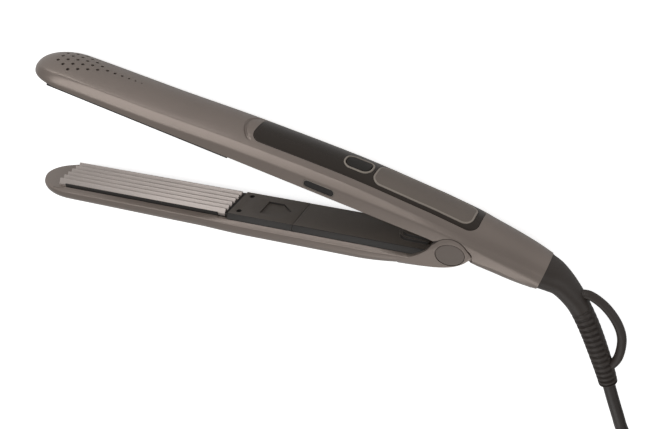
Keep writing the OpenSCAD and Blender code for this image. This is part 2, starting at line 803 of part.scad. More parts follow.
// ---------- Hinge ----------
module oval(l, w) {
    translate([0, 0.25])
        rotate(8)
            polygon([for (i = [0:35]) [l/2*cos(10*i), w/2*sin(10*i)]]);
}
module hinge_pin() {
    color(steel)
        on_side()
            cylinder(d = pin_d, h = body_w - 2*cap_t - 0.6, center = true);
}
module opening_spring() {
    color(steel)
        on_side()
            union() {
                rotate_extrude()
                    translate([spring_r, 0])
                        for (i = [0:spring_turns - 1])
                            translate([0, (i - (spring_turns - 1)/2)*0.9])
                                circle(d = spring_wire, $fn = 16);
                for (s = [-1, 1])
                    rod([0, s*spring_r, s*0.9], [-barrel_r - 1.6, s*spring_r, s*0.9], spring_wire*0.9);
            }
}
module hinge_cap_near() {
    color(dark_grey)
        on_jaw()
            slab(hw - cap_t, hw)
                oval(cap_len, cap_h);
}
module hinge_cap_far() {
    color(dark_grey)
        on_jaw()
            slab(-hw, -hw + cap_t)
                oval(cap_len, cap_h);
}

// ---------- Lower arm, in the jaw's own frame ----------
low_cover_half = hw - low_t - 0.3;
pocket_x = cover_x0 + 22.5;
module lower_ribs() {
    union() {
        for (x = [screw_x, rear_screw_x, -23])
            block(x - rib_w/2, x + rib_w/2, -20, -rim_h - cover_t, body_w);
        facing_down()
            rails(carrier_back);
    }
}
module lower_shell() {
    color(grey)
        on_jaw()
            difference() {
                union() {
                    difference() {
                        lower_casing(0);
                        difference() {
                            lower_casing(low_t);
                            lower_ribs();
                        }
                    }
                    both_sides()
                        slab(hw - cheek_t, hw)
                            cheek_outline();
                }
                cylinder(r = barrel_r + 4.6, h = body_w - 2*cheek_t, center = true);
                block(-20, 12, -rim_h - 0.4, 8, body_w - 2*cheek_t);
                block(cheek_x0 - 1, low_cover_end + fit, -rim_h - cover_t, 0, 2*low_cover_half + 2*fit);
                cylinder(d = pin_d + 2*pin_gap, h = body_w + 2, center = true);
                both_sides()
                    slab(hw - cap_t, hw + 1)
                        oval(cap_len + 0.1, cap_h + 0.1);
                for (z = [-1, 1])
                    upright(screw_x, -12, z*screw_z)
                        cylinder(d = screw_d, h = 9);
            }
}

module lower_plate_retainer() {
    color(black)
        on_jaw()
            difference() {
                bar(cover_x0, split_x - fit)
                    cover_section(low_cover_half, flat_half, -flat_y, -rim_h, -cover_t);
                upright(pocket_x, -flat_y - 1, 0)
                    linear_extrude(4)
                        polygon([[-7.5, -5.8], [1, -5.8], [7.5, 0], [1, 5.8], [-7.5, 5.8]]);
                for (z = [-1, 1])
                    upright(screw_x, -8, z*screw_z)
                        union() {
                            cylinder(d = screw_d + 0.2, h = 6);
                            translate([0, 0, 8 - flat_y - screw_head_t - 0.6])
                                cylinder(d = screw_head_d + 0.2, h = 3);
                        }
            }
}
boss_x = -22.6;
boss_r = 5.4;
boss_y = 1;
module lower_inner_cover() {
    color(black)
        on_jaw()
            union() {
                bar(split_x, low_cover_end)
                    cover_section(low_cover_half, flat_half, -flat_y, -rim_h, -cover_t);
                for (tier = [[1.4, boss_y - 1.4], [0, boss_y]])
                    upright(0, -flat_y - 0.5, 0)
                        linear_extrude(tier[1] + flat_y + 0.5)
                            union() {
                                translate([boss_x, 0])
                                    circle(boss_r + tier[0]);
                                translate([boss_x, -boss_r - tier[0]])
                                    square([low_cover_end - boss_x - 1.5, 2*(boss_r + tier[0])]);
                            }
            }
}
module lower_cover_screws() {
    color(steel)
        on_jaw()
            for (z = [-1, 1])
                upright(screw_x, 0, z*screw_z)
                    union() {
                        translate([0, 0, -flat_y - screw_head_t - 0.6])
                            cylinder(d = screw_head_d, h = screw_head_t);
                        translate([0, 0, -11])
                            cylinder(d = screw_d, h = 11 - flat_y - screw_head_t);
                    }
}
module lower_plate_carrier() {
    color(black)
        on_jaw()
            facing_down()
                plate_carrier(carrier_half, 2.6, carrier_back, 4);
}
module lower_crimp_plate() {
    color(silver)
        on_jaw()
            facing_down()
                bar(plate_x0, plate_x1)
                    plate_section(low_crests);
}
module lower_heater() {
    color([0.9, 0.88, 0.84])
        on_jaw()
            facing_down()
                heater(plate_back);
}
module lower_insulator() {
    color([0.83, 0.78, 0.62])
        on_jaw()
            facing_down()
                block(plate_mid - heater_len/2, plate_mid + heater_len/2, plate_back + heater_t,
                      carrier_back, heater_w);
}
module lower_heater_clip() {
    color(steel)
        on_jaw()
            facing_down()
                heater_clip(carrier_back);
}

// ---------- Strain relief with its hanging loop ----------
relief_route = [[tail_len, end_y], [46.6, 0.7], [51.4, -1.1], [57.4, -5.1], [62.8, -9.9], [68.9, -16.7],
                [74.5, -23.9], [79.9, -31.4], [85.2, -39], [89, -45]];
sleeve_end = [[5, sleeve_d1/2], [8, mix(sleeve_d1, sleeve_d2, 0.6)/2], [9, sleeve_d2/2]];
relief_half_z = concat([[0, 11.4], [1, 9.8], [2, 8], [3, 6.6], [4, 5.4]], sleeve_end);
relief_half_n = concat([[0, 7.3], [1, 6.9], [2, 6.1], [3, 5.5], [4, 5.2]], sleeve_end);
relief_sides = 12;
ribs_from = 4.15;
function relief_ring(t, cut) =
    let (p = along(relief_route, t), q = along(relief_route, min(t + 0.02, 9)),
         o = along(relief_route, max(t - 0.02, 0)), d = unit(t < 0.01 ? [1, -end_tilt] : q - o),
         a = lookup(t, relief_half_z) - cut, b = lookup(t, relief_half_n) - cut)
    [for (i = [0:relief_sides - 1]) let (g = 360*i/relief_sides)
        [p[0] - d[1]*b*sin(g), p[1] + d[0]*b*sin(g), a*cos(g)]];
rib_step = (9 - ribs_from)/ribs;
loop_route = [[60, -3.6, 0], [65, -1.9, 0], [73, -4.4, 0], [80.8, -10.3, 0], [85.8, -17.6, 0],
              [87.9, -26.8, 0], [87.2, -33, 0], [84.4, -37.4, 0]];
module strain_relief() {
    color([0.21, 0.205, 0.19])
        on_side()
            difference() {
                union() {
                    loft(concat([for (t = [0:0.5:4]) relief_ring(t, 0)],
                                [for (k = [0:ribs - 1]) let (t = ribs_from + k*rib_step)
                                 each [relief_ring(t, 0), relief_ring(t + rib_step*0.1, rib_depth),
                                       relief_ring(t + rib_step*0.35, rib_depth),
                                       relief_ring(t + rib_step*0.45, 0)]],
                                [relief_ring(9, 0)]));
                    tube([for (t = [0:0.5:7]) along(loop_route, t)], loop_d, 8);
                    translate([clip_x - 2, end_y, 0])
                        rotate([0, 90, 0])
                            cylinder(d = spigot_d, h = tail_len - clip_x + 3);
                }
                translate([clip_x, end_y, 0])
                    rotate([0, 90, 0])
                        difference() {
                            cylinder(d = spigot_d + 2, h = 1.6);
                            cylinder(d = groove_d, h = 1.6);
                        }
            }
}
module cord_clip() {
    color(steel)
        on_side()
            translate([clip_x + fit, end_y, 0])
                rotate([0, 90, 0])
                    difference() {
                        cylinder(d = spigot_d + 0.8, h = 1.4);
                        translate([0, 0, -1])
                            cylinder(d = groove_d + 0.1, h = 4);
                        translate([0, -groove_d/2 - 0.05, -1])
                            cube([spigot_d, groove_d + 0.1, 4]);
                    }
}

// ---------- Mains lead ----------
cord_r = cord_d/2;
tie_t = 0.7;
tie_gap = 0.4;
lay_z = tie_t + tie_gap + cord_r;
cord_route = [[89, -45, hw], [94.3, -53.4, hw], [99.6, -62, 14.7], [104.6, -70.6, 12.9],
              [111.4, -79.2, 10.2], [120.7, -86.4, 7.4], [131.5, -90.9, lay_z + 1.2],
              [143.2, -92.4, lay_z + 0.2], [154, -92.4, lay_z], [164, -92.4, lay_z]];
cord_last = len(cord_route) - 1;
module cord() {
    color([0.24, 0.22, 0.2])
        tube([for (t = [0:0.2:cord_last]) along(cord_route, t)], cord_d, 8);
}
coil_pitch = cord_d + coil_gap;
coil_turns = 3.25;
tuck = 0.3;
coil_out = coil_in + coil_turns*coil_pitch;
coil_start = -90;
coil_x = cord_route[cord_last][0] + 8.5;
coil_y = cord_route[cord_last][1] + coil_out;
loop_rings = 24;
coil_steps = round((2*coil_turns + 0.5)*loop_rings);
function coil_point(i) =
    let (t = i/loop_rings, a = coil_start + 360*t, back = t - coil_turns - 0.5,
         up = clip((t - coil_turns)/0.5),
         r = back < 0 ? coil_out - coil_pitch*min(t, coil_turns) - coil_pitch*tuck*sin(180*up)
                      : coil_in + coil_pitch*back)
    [coil_x + r*cos(a), coil_y + r*sin(a), lay_z + coil_pitch*up*up*(3 - 2*up)];
coil_last = coil_point(coil_steps);
plug_at = [coil_last[0] + 42, coil_last[1], plug_h/2];
coil_path = concat([cord_route[cord_last]], [for (i = [0:coil_steps]) coil_point(i)],
                   [[coil_last[0] + 12, coil_last[1], coil_last[2] - 0.5],
                    [coil_last[0] + 24, coil_last[1], plug_h/2 + 1.4],
                    [coil_last[0] + 33, coil_last[1], plug_h/2 + 0.1],
                    [coil_last[0] + 38, coil_last[1], plug_h/2], plug_at]);
function gap_between(a, b) = norm(a - b) - cord_d;
coil_least = min([for (i = [0:3:coil_steps - loop_rings], j = [i + 18:coil_steps])
                  gap_between(coil_point(i), coil_point(j))]);
echo(coil_free_gap = coil_least);
echo(coil_middle = [coil_x, coil_y], coil_outer = coil_out, plug_base = plug_at);
module cord_coil() {
    color([0.24, 0.22, 0.2])
        tube(coil_path, cord_d, 6);
}
tie_angle = 225;
tie_w = 9;
module cord_tie() {
    inner_l = coil_out - coil_in + cord_d + 2*tie_gap;
    inner_h = coil_pitch + cord_d + 2*tie_gap;
    color([0.15, 0.15, 0.15])
        translate([coil_x, coil_y, 0])
            rotate([0, 0, tie_angle])
                translate([coil_in - cord_r - tie_gap - tie_t, -tie_w/2, 0])
                    difference() {
                        cube([inner_l + 2*tie_t, tie_w, inner_h + 2*tie_t]);
                        translate([tie_t, -1, tie_t])
                            cube([inner_l, tie_w + 2, inner_h]);
                    }
}
module mains_plug() {
    color([0.19, 0.18, 0.17])
        translate(plug_at)
            rotate([0, 90, 0])
                difference() {
                    union() {
                        cylinder(d1 = 9, d2 = 12, h = plug_neck);
                        translate([0, 0, plug_neck - 2])
                            round_plate(plug_h, plug_w - 7, 8, 5);
                        translate([0, 0, plug_neck + 4])
                            round_plate(plug_h, plug_w, plug_l - 4, 6);
                    }
                    for (side = [-1, 1])
                        translate([0, side*plug_pin_space/2, plug_neck + plug_l - 8])
                            cylinder(d = plug_pin_d - 1, h = 9);
                }
}
module plug_pins() {
    color([0.78, 0.76, 0.7])
        translate(plug_at)
            rotate([0, 90, 0])
                for (side = [-1, 1])
                    translate([0, side*plug_pin_space/2, plug_neck + plug_l])
                        union() {
                            translate([0, 0, -8])
                                cylinder(d = plug_pin_d - 1, h = 9);
                            cylinder(d = plug_pin_d, h = plug_pin_len);
                        }
}

upper_shell();
handle_cover();
upper_inner_cover();
upper_plate_carrier();
upper_crimp_plate();
upper_heater();
upper_insulator();
upper_heater_clip();
upper_cover_screws();
control_panel();
panel_inlay();
button_bezel();
power_button();
tact_switch();
circuit_board();
side_insert_near();
side_insert_far();
thermal_fuse();
inner_leads();
cord_clip();
handle_screws();
lock_slider();
hinge_pin();
opening_spring();
strain_relief();
lower_shell();
lower_inner_cover();
lower_plate_retainer();
lower_plate_carrier();
lower_crimp_plate();
lower_heater();
lower_insulator();
lower_heater_clip();
lower_cover_screws();
hinge_cap_near();
hinge_cap_far();
cord();
cord_coil();
cord_tie();
mains_plug();
plug_pins();
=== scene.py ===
# %% [markdown]
# # Hair crimper
# Two sprung arms close on a lock of hair and press waves into it with ridged hot plates.
# The arms are thin moulded shells with satin lacquer, so most of this notebook makes smooth
# lofted skins, cuts openings in them and lays small inset parts on their crown.
# Lengths are written in millimetres and turned into metres when a mesh is made.

# %% Start: load the model that the pieces are fitted to
import math
import bpy
import bmesh
import numpy as np
from mathutils import Matrix, Vector


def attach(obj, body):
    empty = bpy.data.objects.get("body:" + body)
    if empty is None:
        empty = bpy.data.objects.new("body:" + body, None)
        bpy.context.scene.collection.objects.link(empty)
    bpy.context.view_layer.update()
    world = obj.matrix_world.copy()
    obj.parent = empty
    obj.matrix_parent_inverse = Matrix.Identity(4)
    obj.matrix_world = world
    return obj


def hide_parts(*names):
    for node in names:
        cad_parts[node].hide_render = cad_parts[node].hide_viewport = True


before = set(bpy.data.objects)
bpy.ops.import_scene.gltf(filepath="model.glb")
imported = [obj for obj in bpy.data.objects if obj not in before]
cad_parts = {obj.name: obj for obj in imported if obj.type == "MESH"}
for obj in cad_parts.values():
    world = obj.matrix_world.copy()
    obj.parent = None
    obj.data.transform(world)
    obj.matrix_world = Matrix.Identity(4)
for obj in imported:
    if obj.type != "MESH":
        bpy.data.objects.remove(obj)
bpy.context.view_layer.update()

# %% [markdown]
# ## Camera
# A long lens looks down on the tool from above and behind.

# %% Camera
def linked(name, data):
    """A new object with this data, linked to the scene."""
    obj = bpy.data.objects.new(name, data)
    bpy.context.scene.collection.objects.link(obj)
    return obj


camera_data = bpy.data.cameras.new("camera")
camera_data.lens = 57.01
camera_data.sensor_width = 36
camera_data.clip_end = 20
camera = linked("camera", camera_data)
right = Vector((0.90394, 0.1886, -0.38382))
up = Vector((-0.37026, 0.79425, -0.48174))
back = Vector((0.21399, 0.57758, 0.78778))
camera.matrix_world = (Matrix.Translation((0.04708, 0.28328, 0.4223))
                       @ Matrix((right, up, back)).transposed().to_4x4())
bpy.context.scene.camera = camera
print("camera at", [round(v, 3) for v in camera.location])

# %% [markdown]
# ## Shared sizes
# The tool lies on its side: Z is the hinge axis and the middle plane is half the width up.
# The lower arm is drawn closed and then turned open about the hinge.

# %% Sizes
body_w, nose_len, tail_len = 31, 233.5, 42
shell_t, nose_round, nose_rise = 1.8, 21, 4
edge_h, nose_wall, rear_wall = 4, 2.3, 6.4
bevel_w, bevel_h, nose_crown, rear_crown = 2.1, 4.2, 3.8, 4.4
rim_h, low_wall, low_bevel_h, low_crown = 4.4, 3, 3, 2.8
end_w, end_h, end_y, end_tilt = 23.8, 15.3, 1.5, 0.1
open_angle = 14
cheek_r, cheek_t, pin_d, cap_t = 8.7, 2.8, 4, 0.9
hw = body_w/2
TURN = Matrix.Rotation(math.radians(open_angle), 4, "Z")
print("half width", hw, "mm")

# %% [markdown]
# Heights vary smoothly along the arms and the nose ends in a blunt round, so a few curve
# functions come first.

# %% Curves
def smooth(x, table):
    """Height of a smooth curve through a table's points that never overshoots them."""
    xs = [p[0] for p in table]
    ys = [p[1] for p in table]
    if x <= xs[0]:
        return ys[0]
    if x >= xs[-1]:
        return ys[-1]
    h = [b - a for a, b in zip(xs, xs[1:])]
    d = [(b - a)/w for a, b, w in zip(ys, ys[1:], h)]
    m = [0.0]
    for i in range(1, len(d)):
        m.append(0.0 if d[i - 1]*d[i] <= 0 else 2*d[i - 1]*d[i]/(d[i - 1] + d[i]))
    m.append(0.0)
    if len(d) > 1:
        m[0] = d[0]
        m[-1] = d[-1]
    i = max(k for k in range(len(d)) if x >= xs[k])
    t = (x - xs[i])/h[i]
    return (ys[i]*(1 + 2*t)*(1 - t)**2 + h[i]*m[i]*t*(1 - t)**2
            + ys[i + 1]*t*t*(3 - 2*t) + h[i]*m[i + 1]*t*t*(t - 1))


def mix(a, b, t):
    return a + (b - a)*t


def clip(v):
    return min(max(v, 0), 1)


def bulge(u, n):
    """Share of the full width left at a share u of the way to a blunt tip."""
    return max(1 - clip(u)**n, 0.0001)**(1/n)


def polar(r, degrees):
    return r*math.cos(math.radians(degrees)), r*math.sin(math.radians(degrees))


def along(points, t):
    """A place on the smooth curve through a list of points, with t counted in points."""
    m = len(points) - 1
    i = min(int(t), m - 1)
    f = t - i
    a, b, c, d = (np.array(points[k], float) for k in (max(i - 1, 0), i, i + 1, min(i + 2, m)))
    return 0.5*(2*b + (c - a)*f + (2*a - 5*b + 4*c - d)*f*f + (3*b - 3*c + d - a)*f**3)


print("half way along its round the nose keeps", round(bulge(0.5, 2.15), 3), "of its width")

# %% [markdown]
# Most pieces are skins: rings of points with faces between neighbouring rings.

# %% Skins
MERGE = 2e-6


def new_object(name, verts, faces):
    """A mesh object from points in millimetres, with its normals turned outwards."""
    mesh = bpy.data.meshes.new(name)
    mesh.from_pydata([tuple(c*0.001 for c in v) for v in verts], [], faces)
    obj = linked(name, mesh)
    tidy(obj)
    return obj


def tidy(obj):
    bm = bmesh.new()
    bm.from_mesh(obj.data)
    bmesh.ops.remove_doubles(bm, verts=bm.verts, dist=MERGE)
    bmesh.ops.dissolve_degenerate(bm, edges=bm.edges, dist=1e-7)
    bmesh.ops.recalc_face_normals(bm, faces=bm.faces)
    bm.to_mesh(obj.data)
    bm.free()


def skin(rings, around=True, cap=True, wrap=False):
    """Faces of a skin over rings of equal point counts."""
    n, m = len(rings[0]), len(rings)
    verts = [p for r in rings for p in r]
    faces = []
    for i in range(m if wrap else m - 1):
        for j in range(n if around else n - 1):
            here, there, across = i*n, ((i + 1) % m)*n, (j + 1) % n
            faces.append((here + j, here + across, there + across, there + j))
    if cap:
        faces.append(tuple(range(n))[::-1])
        faces.append(tuple(range((m - 1)*n, m*n)))
    return verts, faces


print("a skin over two squares has", len(skin([[(0, 0, 0)]*4]*2)[1]), "faces")

# %% [markdown]
# Openings are cut with Boolean modifiers. Each is applied at once and taken off again,
# because a finished piece is a plain mesh.

# %% Cutting and mirroring
def keep_result(obj, mod):
    """Keeps a modifier's result as the object's mesh and takes the modifier off again."""
    bpy.context.view_layer.update()
    done = bpy.data.meshes.new_from_object(obj.evaluated_get(bpy.context.evaluated_depsgraph_get()))
    obj.modifiers.remove(mod)
    old, obj.data = obj.data, done
    name = old.name
    bpy.data.meshes.remove(old)
    done.name = name


def cut(obj, tools, how="DIFFERENCE"):
    """Takes each tool out of an object, or joins it on, and throws the tool away."""
    for tool in tools:
        mod = obj.modifiers.new("cut", "BOOLEAN")
        mod.operation, mod.solver, mod.object = how, "MANIFOLD", tool
        keep_result(obj, mod)
        bpy.data.objects.remove(tool)


def mirrored(obj, name):
    """The same piece on the other side of the middle plane."""
    twin = linked(name, obj.data.copy())
    twin.data.name = name
    twin.data.transform(Matrix.Translation((0, 0, hw*0.002)) @ Matrix.Scale(-1, 4, (0, 0, 1)))
    twin.data.flip_normals()
    return twin


print("the middle plane is", hw, "mm up")

# %% [markdown]
# A finished piece gets its shading, its finish and its place in the model. A part whose CAD
# form is right already is only softened: its sharp edges are rounded as a mould or a press
# leaves them.

# %% Finishing
def finish_piece(obj, body, nodes, angle, material):
    """Shading, material and place in the model for a finished piece."""
    for p in obj.data.polygons:
        p.use_smooth = True
    obj.data.set_sharp_from_angle(angle=math.radians(angle))
    obj.data.materials.clear()
    obj.data.materials.append(material)
    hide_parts(*nodes)
    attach(obj, body)
    return obj


def painted_light_faces(obj, material, where):
    """Another material for faces whose centre and normal pass a test, in millimetres: painted light and
    shade.
    """
    obj.data.materials.append(material)
    for p in obj.data.polygons:
        if where(p.center*1000, p.normal):
            p.material_index = len(obj.data.materials) - 1
    return obj


def softened(node, name, radius, body, material, segments, tools=()):
    """A CAD part drawn again with small rounded edges, as it leaves its mould or press."""
    obj = linked(name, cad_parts[node].data.copy())
    if tools:
        tidy(obj)
        cut(obj, tools)
    bm = bmesh.new()
    bm.from_mesh(obj.data)
    bmesh.ops.remove_doubles(bm, verts=bm.verts, dist=MERGE)
    bmesh.ops.dissolve_limit(bm, angle_limit=math.radians(1), verts=bm.verts, edges=bm.edges)
    bmesh.ops.recalc_face_normals(bm, faces=bm.faces)
    sharp = [e for e in bm.edges if len(e.link_faces) == 2 and e.calc_face_angle(0) > math.radians(28)]
    bmesh.ops.bevel(bm, geom=sharp, offset=radius*0.001, segments=segments, profile=0.5, affect="EDGES",
                    clamp_overlap=True)
    bm.to_mesh(obj.data)
    bm.free()
    return finish_piece(obj, body, [node], 40, material)


print("softened parts start from", len(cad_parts), "CAD nodes")

# %% [markdown]
# ## Materials
# Colours are written as sRGB codes and turned linear, because light adds up in linear values.
# One small function adds a node with its settings and links, for materials and geometry alike.

# %% Materials
def linear(hex_code):
    """Linear colour from an sRGB code."""
    parts = [int(hex_code[i:i + 2], 16)/255 for i in (0, 2, 4)]
    return [c/12.92 if c <= 0.04045 else ((c + 0.055)/1.055)**2.4 for c in parts] + [1]


def add(tree, kind, inputs=None, **settings):
    """A node with its settings and its inputs: values, sockets, or nodes' first outputs."""
    node = tree.nodes.new(kind)
    for key, value in settings.items():
        setattr(node, key, value)
    for key, value in (inputs or {}).items():
        if isinstance(value, bpy.types.Node):
            value = value.outputs[0]
        if isinstance(value, bpy.types.NodeSocket):
            tree.links.new(value, node.inputs[key])
        else:
            node.inputs[key].default_value = value
    return node


print("mid grey is", round(linear("808080")[0], 3), "in linear light")

# %% [markdown]
# Nearly every piece is moulded, pressed or drawn, so one tree serves them all: a slow drift of
# the colour, a fine grain in the gloss and a bump. It reads object coordinates, in metres, so
# a scale of 9000 is a grain of about 0.1 mm.

# %% Moulded surfaces
def moulded(name, colour, vary, rough, rough_vary, grain, bump, shader=None, cell=None):
    """A surface whose colour and gloss drift a little and whose fine grain is a bump."""
    mat = bpy.data.materials.new(name)
    mat.use_nodes = True
    tree = mat.node_tree
    tree.nodes.clear()
    coords = add(tree, "ShaderNodeTexCoord")
    drift = add(tree, "ShaderNodeTexNoise",
                {"Vector": coords.outputs["Object"], "Scale": 45.0, "Detail": 3.0, "Roughness": 0.5})
    fine = add(tree, "ShaderNodeTexNoise",
               {"Vector": coords.outputs["Object"], "Scale": grain, "Detail": 2.0, "Roughness": 0.6})
    tone = add(tree, "ShaderNodeMapRange",
               {"Value": drift.outputs["Fac"], "From Min": 0.3, "From Max": 0.7,
                "To Min": 1 - vary, "To Max": 1 + vary})
    base = linear(colour)
    tint = add(tree, "ShaderNodeMix", {0: 1.0, 6: base, 7: tone.outputs["Result"]},
               data_type="RGBA", blend_type="MULTIPLY")
    gloss = add(tree, "ShaderNodeMapRange",
                {"Value": fine.outputs["Fac"], "From Min": 0.3, "From Max": 0.7,
                 "To Min": rough - rough_vary, "To Max": rough + rough_vary})
    height = fine.outputs["Fac"]
    if cell:
        cells = add(tree, "ShaderNodeTexVoronoi", {"Vector": coords.outputs["Object"], "Scale": cell})
        height = cells.outputs["Distance"]
    relief = add(tree, "ShaderNodeBump", {"Height": height, "Strength": bump, "Distance": 0.0002})
    surface = add(tree, "ShaderNodeBsdfPrincipled",
                  {"Base Color": tint.outputs[2], "Roughness": gloss.outputs["Result"],
                   "Normal": relief.outputs["Normal"]})
    for key, value in (shader or {}).items():
        surface.inputs[key].default_value = value
    add(tree, "ShaderNodeOutputMaterial", {"Surface": surface.outputs["BSDF"]})
    return mat


print("materials so far", len(bpy.data.materials))

# %% [markdown]
# The real finishes are satin lacquer with metal flakes, moulded nylon and rubber, coated
# aluminium plates, and plated steel and brass.

# %% Finishes of the casing
# sprayed satin lacquer with metal flakes: a soft broad sheen that follows the bevels
lacquer = moulded("pewter_satin_lacquer", "8C8078", 0.03, 0.36, 0.03, 9000, 0.06,
                  {"Metallic": 0.55, "Coat Weight": 0.25, "Coat Roughness": 0.25})
# a darker, duller copy of the same lacquer for the hatch under the handle: painted shade
lacquer_painted_shade = moulded("pewter_lacquer_shaded", "7A6F68", 0.03, 0.42, 0.03, 9000, 0.06, {"Metallic": 0.4})
# grey ABS with a flake, duller than the lacquer; the lightest grey is partly painted highlight
cap_grey = moulded("grey_moulded_caps", "776D66", 0.03, 0.45, 0.04, 7000, 0.08, {"Metallic": 0.25})
inlay_grey = moulded("grey_moulded_inlay", "7A7068", 0.03, 0.4, 0.03, 7000, 0.06, {"Metallic": 0.35})
ring_grey_and_highlight = moulded("grey_ring_and_painted_highlight", "A2988E", 0.03, 0.36, 0.03, 7000, 0.05, {"Metallic": 0.45})
# polished ABS strip: dark, with a sheen only at a low angle
panel_black = moulded("black_semi_gloss_panel", "29221D", 0.05, 0.24, 0.03, 6000, 0.02,
                      {"Specular IOR Level": 0.42, "Specular Tint": (1, 0.93, 0.86, 1)})
# soft-touch key: nearly no highlight
key_black = moulded("black_soft_key", "1E1913", 0.05, 0.36, 0.05, 5000, 0.1, {"Specular IOR Level": 0.35})
# spark-eroded nylon: cells of 0.6 mm, coarser than the real 0.1 mm so that they show
nylon_black = moulded("black_textured_nylon", "6A625B", 0.04, 0.5, 0.05, 4000, 0.12, cell=1600)
# a much darker copy of the same nylon: the trays' black, deepened as painted shade in the pits
tray_black_and_shade = moulded("black_nylon_trays_and_painted_shade", "2E2A27", 0.04, 0.5, 0.05, 4000, 0.1)
# knurled inserts: the same cells with a deep bump, so that they stay dark
insert_black = moulded("black_knurled_insert", "1F1B18", 0.04, 0.5, 0.05, 4000, 0.5, cell=1500)
# rubber and PVC: matt, a little grey
rubber_black = moulded("black_soft_rubber", "372F2A", 0.05, 0.48, 0.06, 3000, 0.12)
jacket_black = moulded("black_lead_jacket", "322C28", 0.04, 0.42, 0.05, 2500, 0.08)
plug_black = moulded("black_moulded_plug", "2A2826", 0.04, 0.42, 0.05, 3500, 0.1)
# woven nylon: threads of 0.7 mm, coarser than real ones so that they show, spread the light
band_black = moulded("black_woven_band", "262524", 0.06, 0.75, 0.08, 1800, 0.5, cell=1400)
print("finishes of the casing", len(bpy.data.materials))

# %% [markdown]
# The inner parts show only through gaps, but each still has its own finish.

# %% Finishes of metal and inner parts
# aluminium under a thin ceramic coat: bright but milky
plate_silver = moulded("ceramic_coated_aluminium_plate", "C6BCB6", 0.03, 0.42, 0.05, 6000, 0.05,
                       {"Metallic": 0.6})
# zinc plating is cool and a little cloudy, blackening is darker, nickel is warm and bright
zinc = moulded("zinc_plated_steel", "A8A8AA", 0.05, 0.32, 0.06, 4000, 0.05, {"Metallic": 1.0})
screw_dark = moulded("blackened_steel", "3A3836", 0.05, 0.4, 0.06, 4000, 0.05, {"Metallic": 0.8})
nickel = moulded("nickel_plated_brass", "C8C2B4", 0.04, 0.22, 0.04, 3000, 0.03, {"Metallic": 1.0})
# sintered ceramic is chalky, mica is layered and pale, the board is green under its resist
alumina = moulded("white_alumina_ceramic", "E6E1D8", 0.03, 0.6, 0.05, 5000, 0.1)
mica = moulded("pressed_mica_sheet", "C9B890", 0.08, 0.5, 0.1, 2500, 0.2)
laminate = moulded("green_glass_epoxy_board", "2F5A3C", 0.05, 0.35, 0.05, 2500, 0.1)
# silicone stays matt, and the switch is plain dark plastic
silicone = moulded("red_silicone_lead", "8C2F26", 0.05, 0.45, 0.05, 3000, 0.08)
switch_dark = moulded("dark_switch_housing", "3B3B3D", 0.04, 0.45, 0.05, 4000, 0.08)
print("materials", len(bpy.data.materials))

# %% [markdown]
# ## Mains lead
# 1.77 m of round lead leaves the strain relief, sinks to the table and is wound into a flat
# coil of two layers under a band. One curve carries the whole length, because a lead keeps
# its thickness and only bends.

# %% Lead's route
cord_d, coil_in, coil_gap = 6, 27, 0.6
tie_t, tie_gap = 0.7, 0.4
lay_z = tie_t + tie_gap + cord_d/2
coil_pitch = cord_d + coil_gap
coil_turns, tuck, coil_start, loop_steps = 3.25, 0.3, -90, 48
plug_mid = 7.5
cord_route = [(89, -45, hw), (94.3, -53.4, hw), (99.6, -62, 14.7), (104.6, -70.6, 12.9),
              (111.4, -79.2, 10.2), (120.7, -86.4, 7.4), (131.5, -90.9, lay_z + 1.2),
              (143.2, -92.4, lay_z + 0.2), (154, -92.4, lay_z), (164, -92.4, lay_z)]
coil_out = coil_in + coil_turns*coil_pitch
coil_x = cord_route[-1][0] + 8.5
coil_y = cord_route[-1][1] + coil_out
print("the coil is", 2*coil_out + cord_d, "mm across")

# %% [markdown]
# The lead is wound inwards on the table, climbs by its own thickness, and comes out again on
# top of the first layer. It ends in the plug's neck.

# %% Coil
def coil_point(t):
    """A place on the coil, with t counted in turns: inwards below, then outwards on top."""
    back_turns = t - coil_turns - 0.5
    rise = clip((t - coil_turns)/0.5)
    if back_turns < 0:
        r = coil_out - coil_pitch*min(t, coil_turns) - coil_pitch*tuck*math.sin(math.pi*rise)
    else:
        r = coil_in + coil_pitch*back_turns
    x, y = polar(r, coil_start + 360*t)
    return coil_x + x, coil_y + y, lay_z + coil_pitch*rise*rise*(3 - 2*rise)


lead = [tuple(along(cord_route, k*0.1)) for k in range(10*(len(cord_route) - 1) + 1)]
coil_steps = round((2*coil_turns + 0.5)*24)*2
lead += [coil_point(k/loop_steps) for k in range(coil_steps + 1)]
end_x, end_y_lead, end_z = lead[-1]
tail_route = lead[-2:] + [(end_x + dx, end_y_lead, z) for dx, z in (
    (12, end_z - 0.5), (24, plug_mid + 1.4), (33, plug_mid + 0.1), (38, plug_mid), (42, plug_mid))]
lead += [tuple(along(tail_route, 1 + k*0.1)) for k in range(1, 51)]

# %% [markdown]
# A curve with a round bevel turns the list of points into the lead.

# %% Lead
curve = bpy.data.curves.new("mains_lead", "CURVE")
curve.dimensions = "3D"
curve.bevel_depth = cord_d/2*0.001
curve.bevel_resolution = 6
curve.use_fill_caps = True
spline = curve.splines.new("POLY")
spline.points.add(len(lead) - 1)
for point, place in zip(spline.points, lead):
    point.co = [c*0.001 for c in place] + [1]
spline.use_smooth = True
mains_lead = linked("mains_lead", curve)
curve.materials.append(jacket_black)
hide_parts("cord", "cord_coil")
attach(mains_lead, "casing")
print("lead thickness", cord_d, "mm")

# %% [markdown]
# The plug is two moulded blocks on a tapering neck, its pins are turned brass, and a woven
# band holds the coil.

# %% Plug, pins and band
mains_plug = softened("mains_plug", "mains_plug_body", 1.0, "casing", plug_black, 4)
plug_pins = softened("plug_pins", "plug_contact_pins", 0.6, "casing", nickel, 4)
cord_tie = softened("cord_tie", "lead_band", 0.25, "casing", band_black, 3)
print("band faces", len(cord_tie.data.polygons))

# %% [markdown]
# ## Casing sections
# Each arm is a skin over many cross-sections. A section is a short list of corners, and each
# corner is rounded by its own cut, so the crease lines of the real moulding stay crisp where
# they are crisp and melt away near the nose.

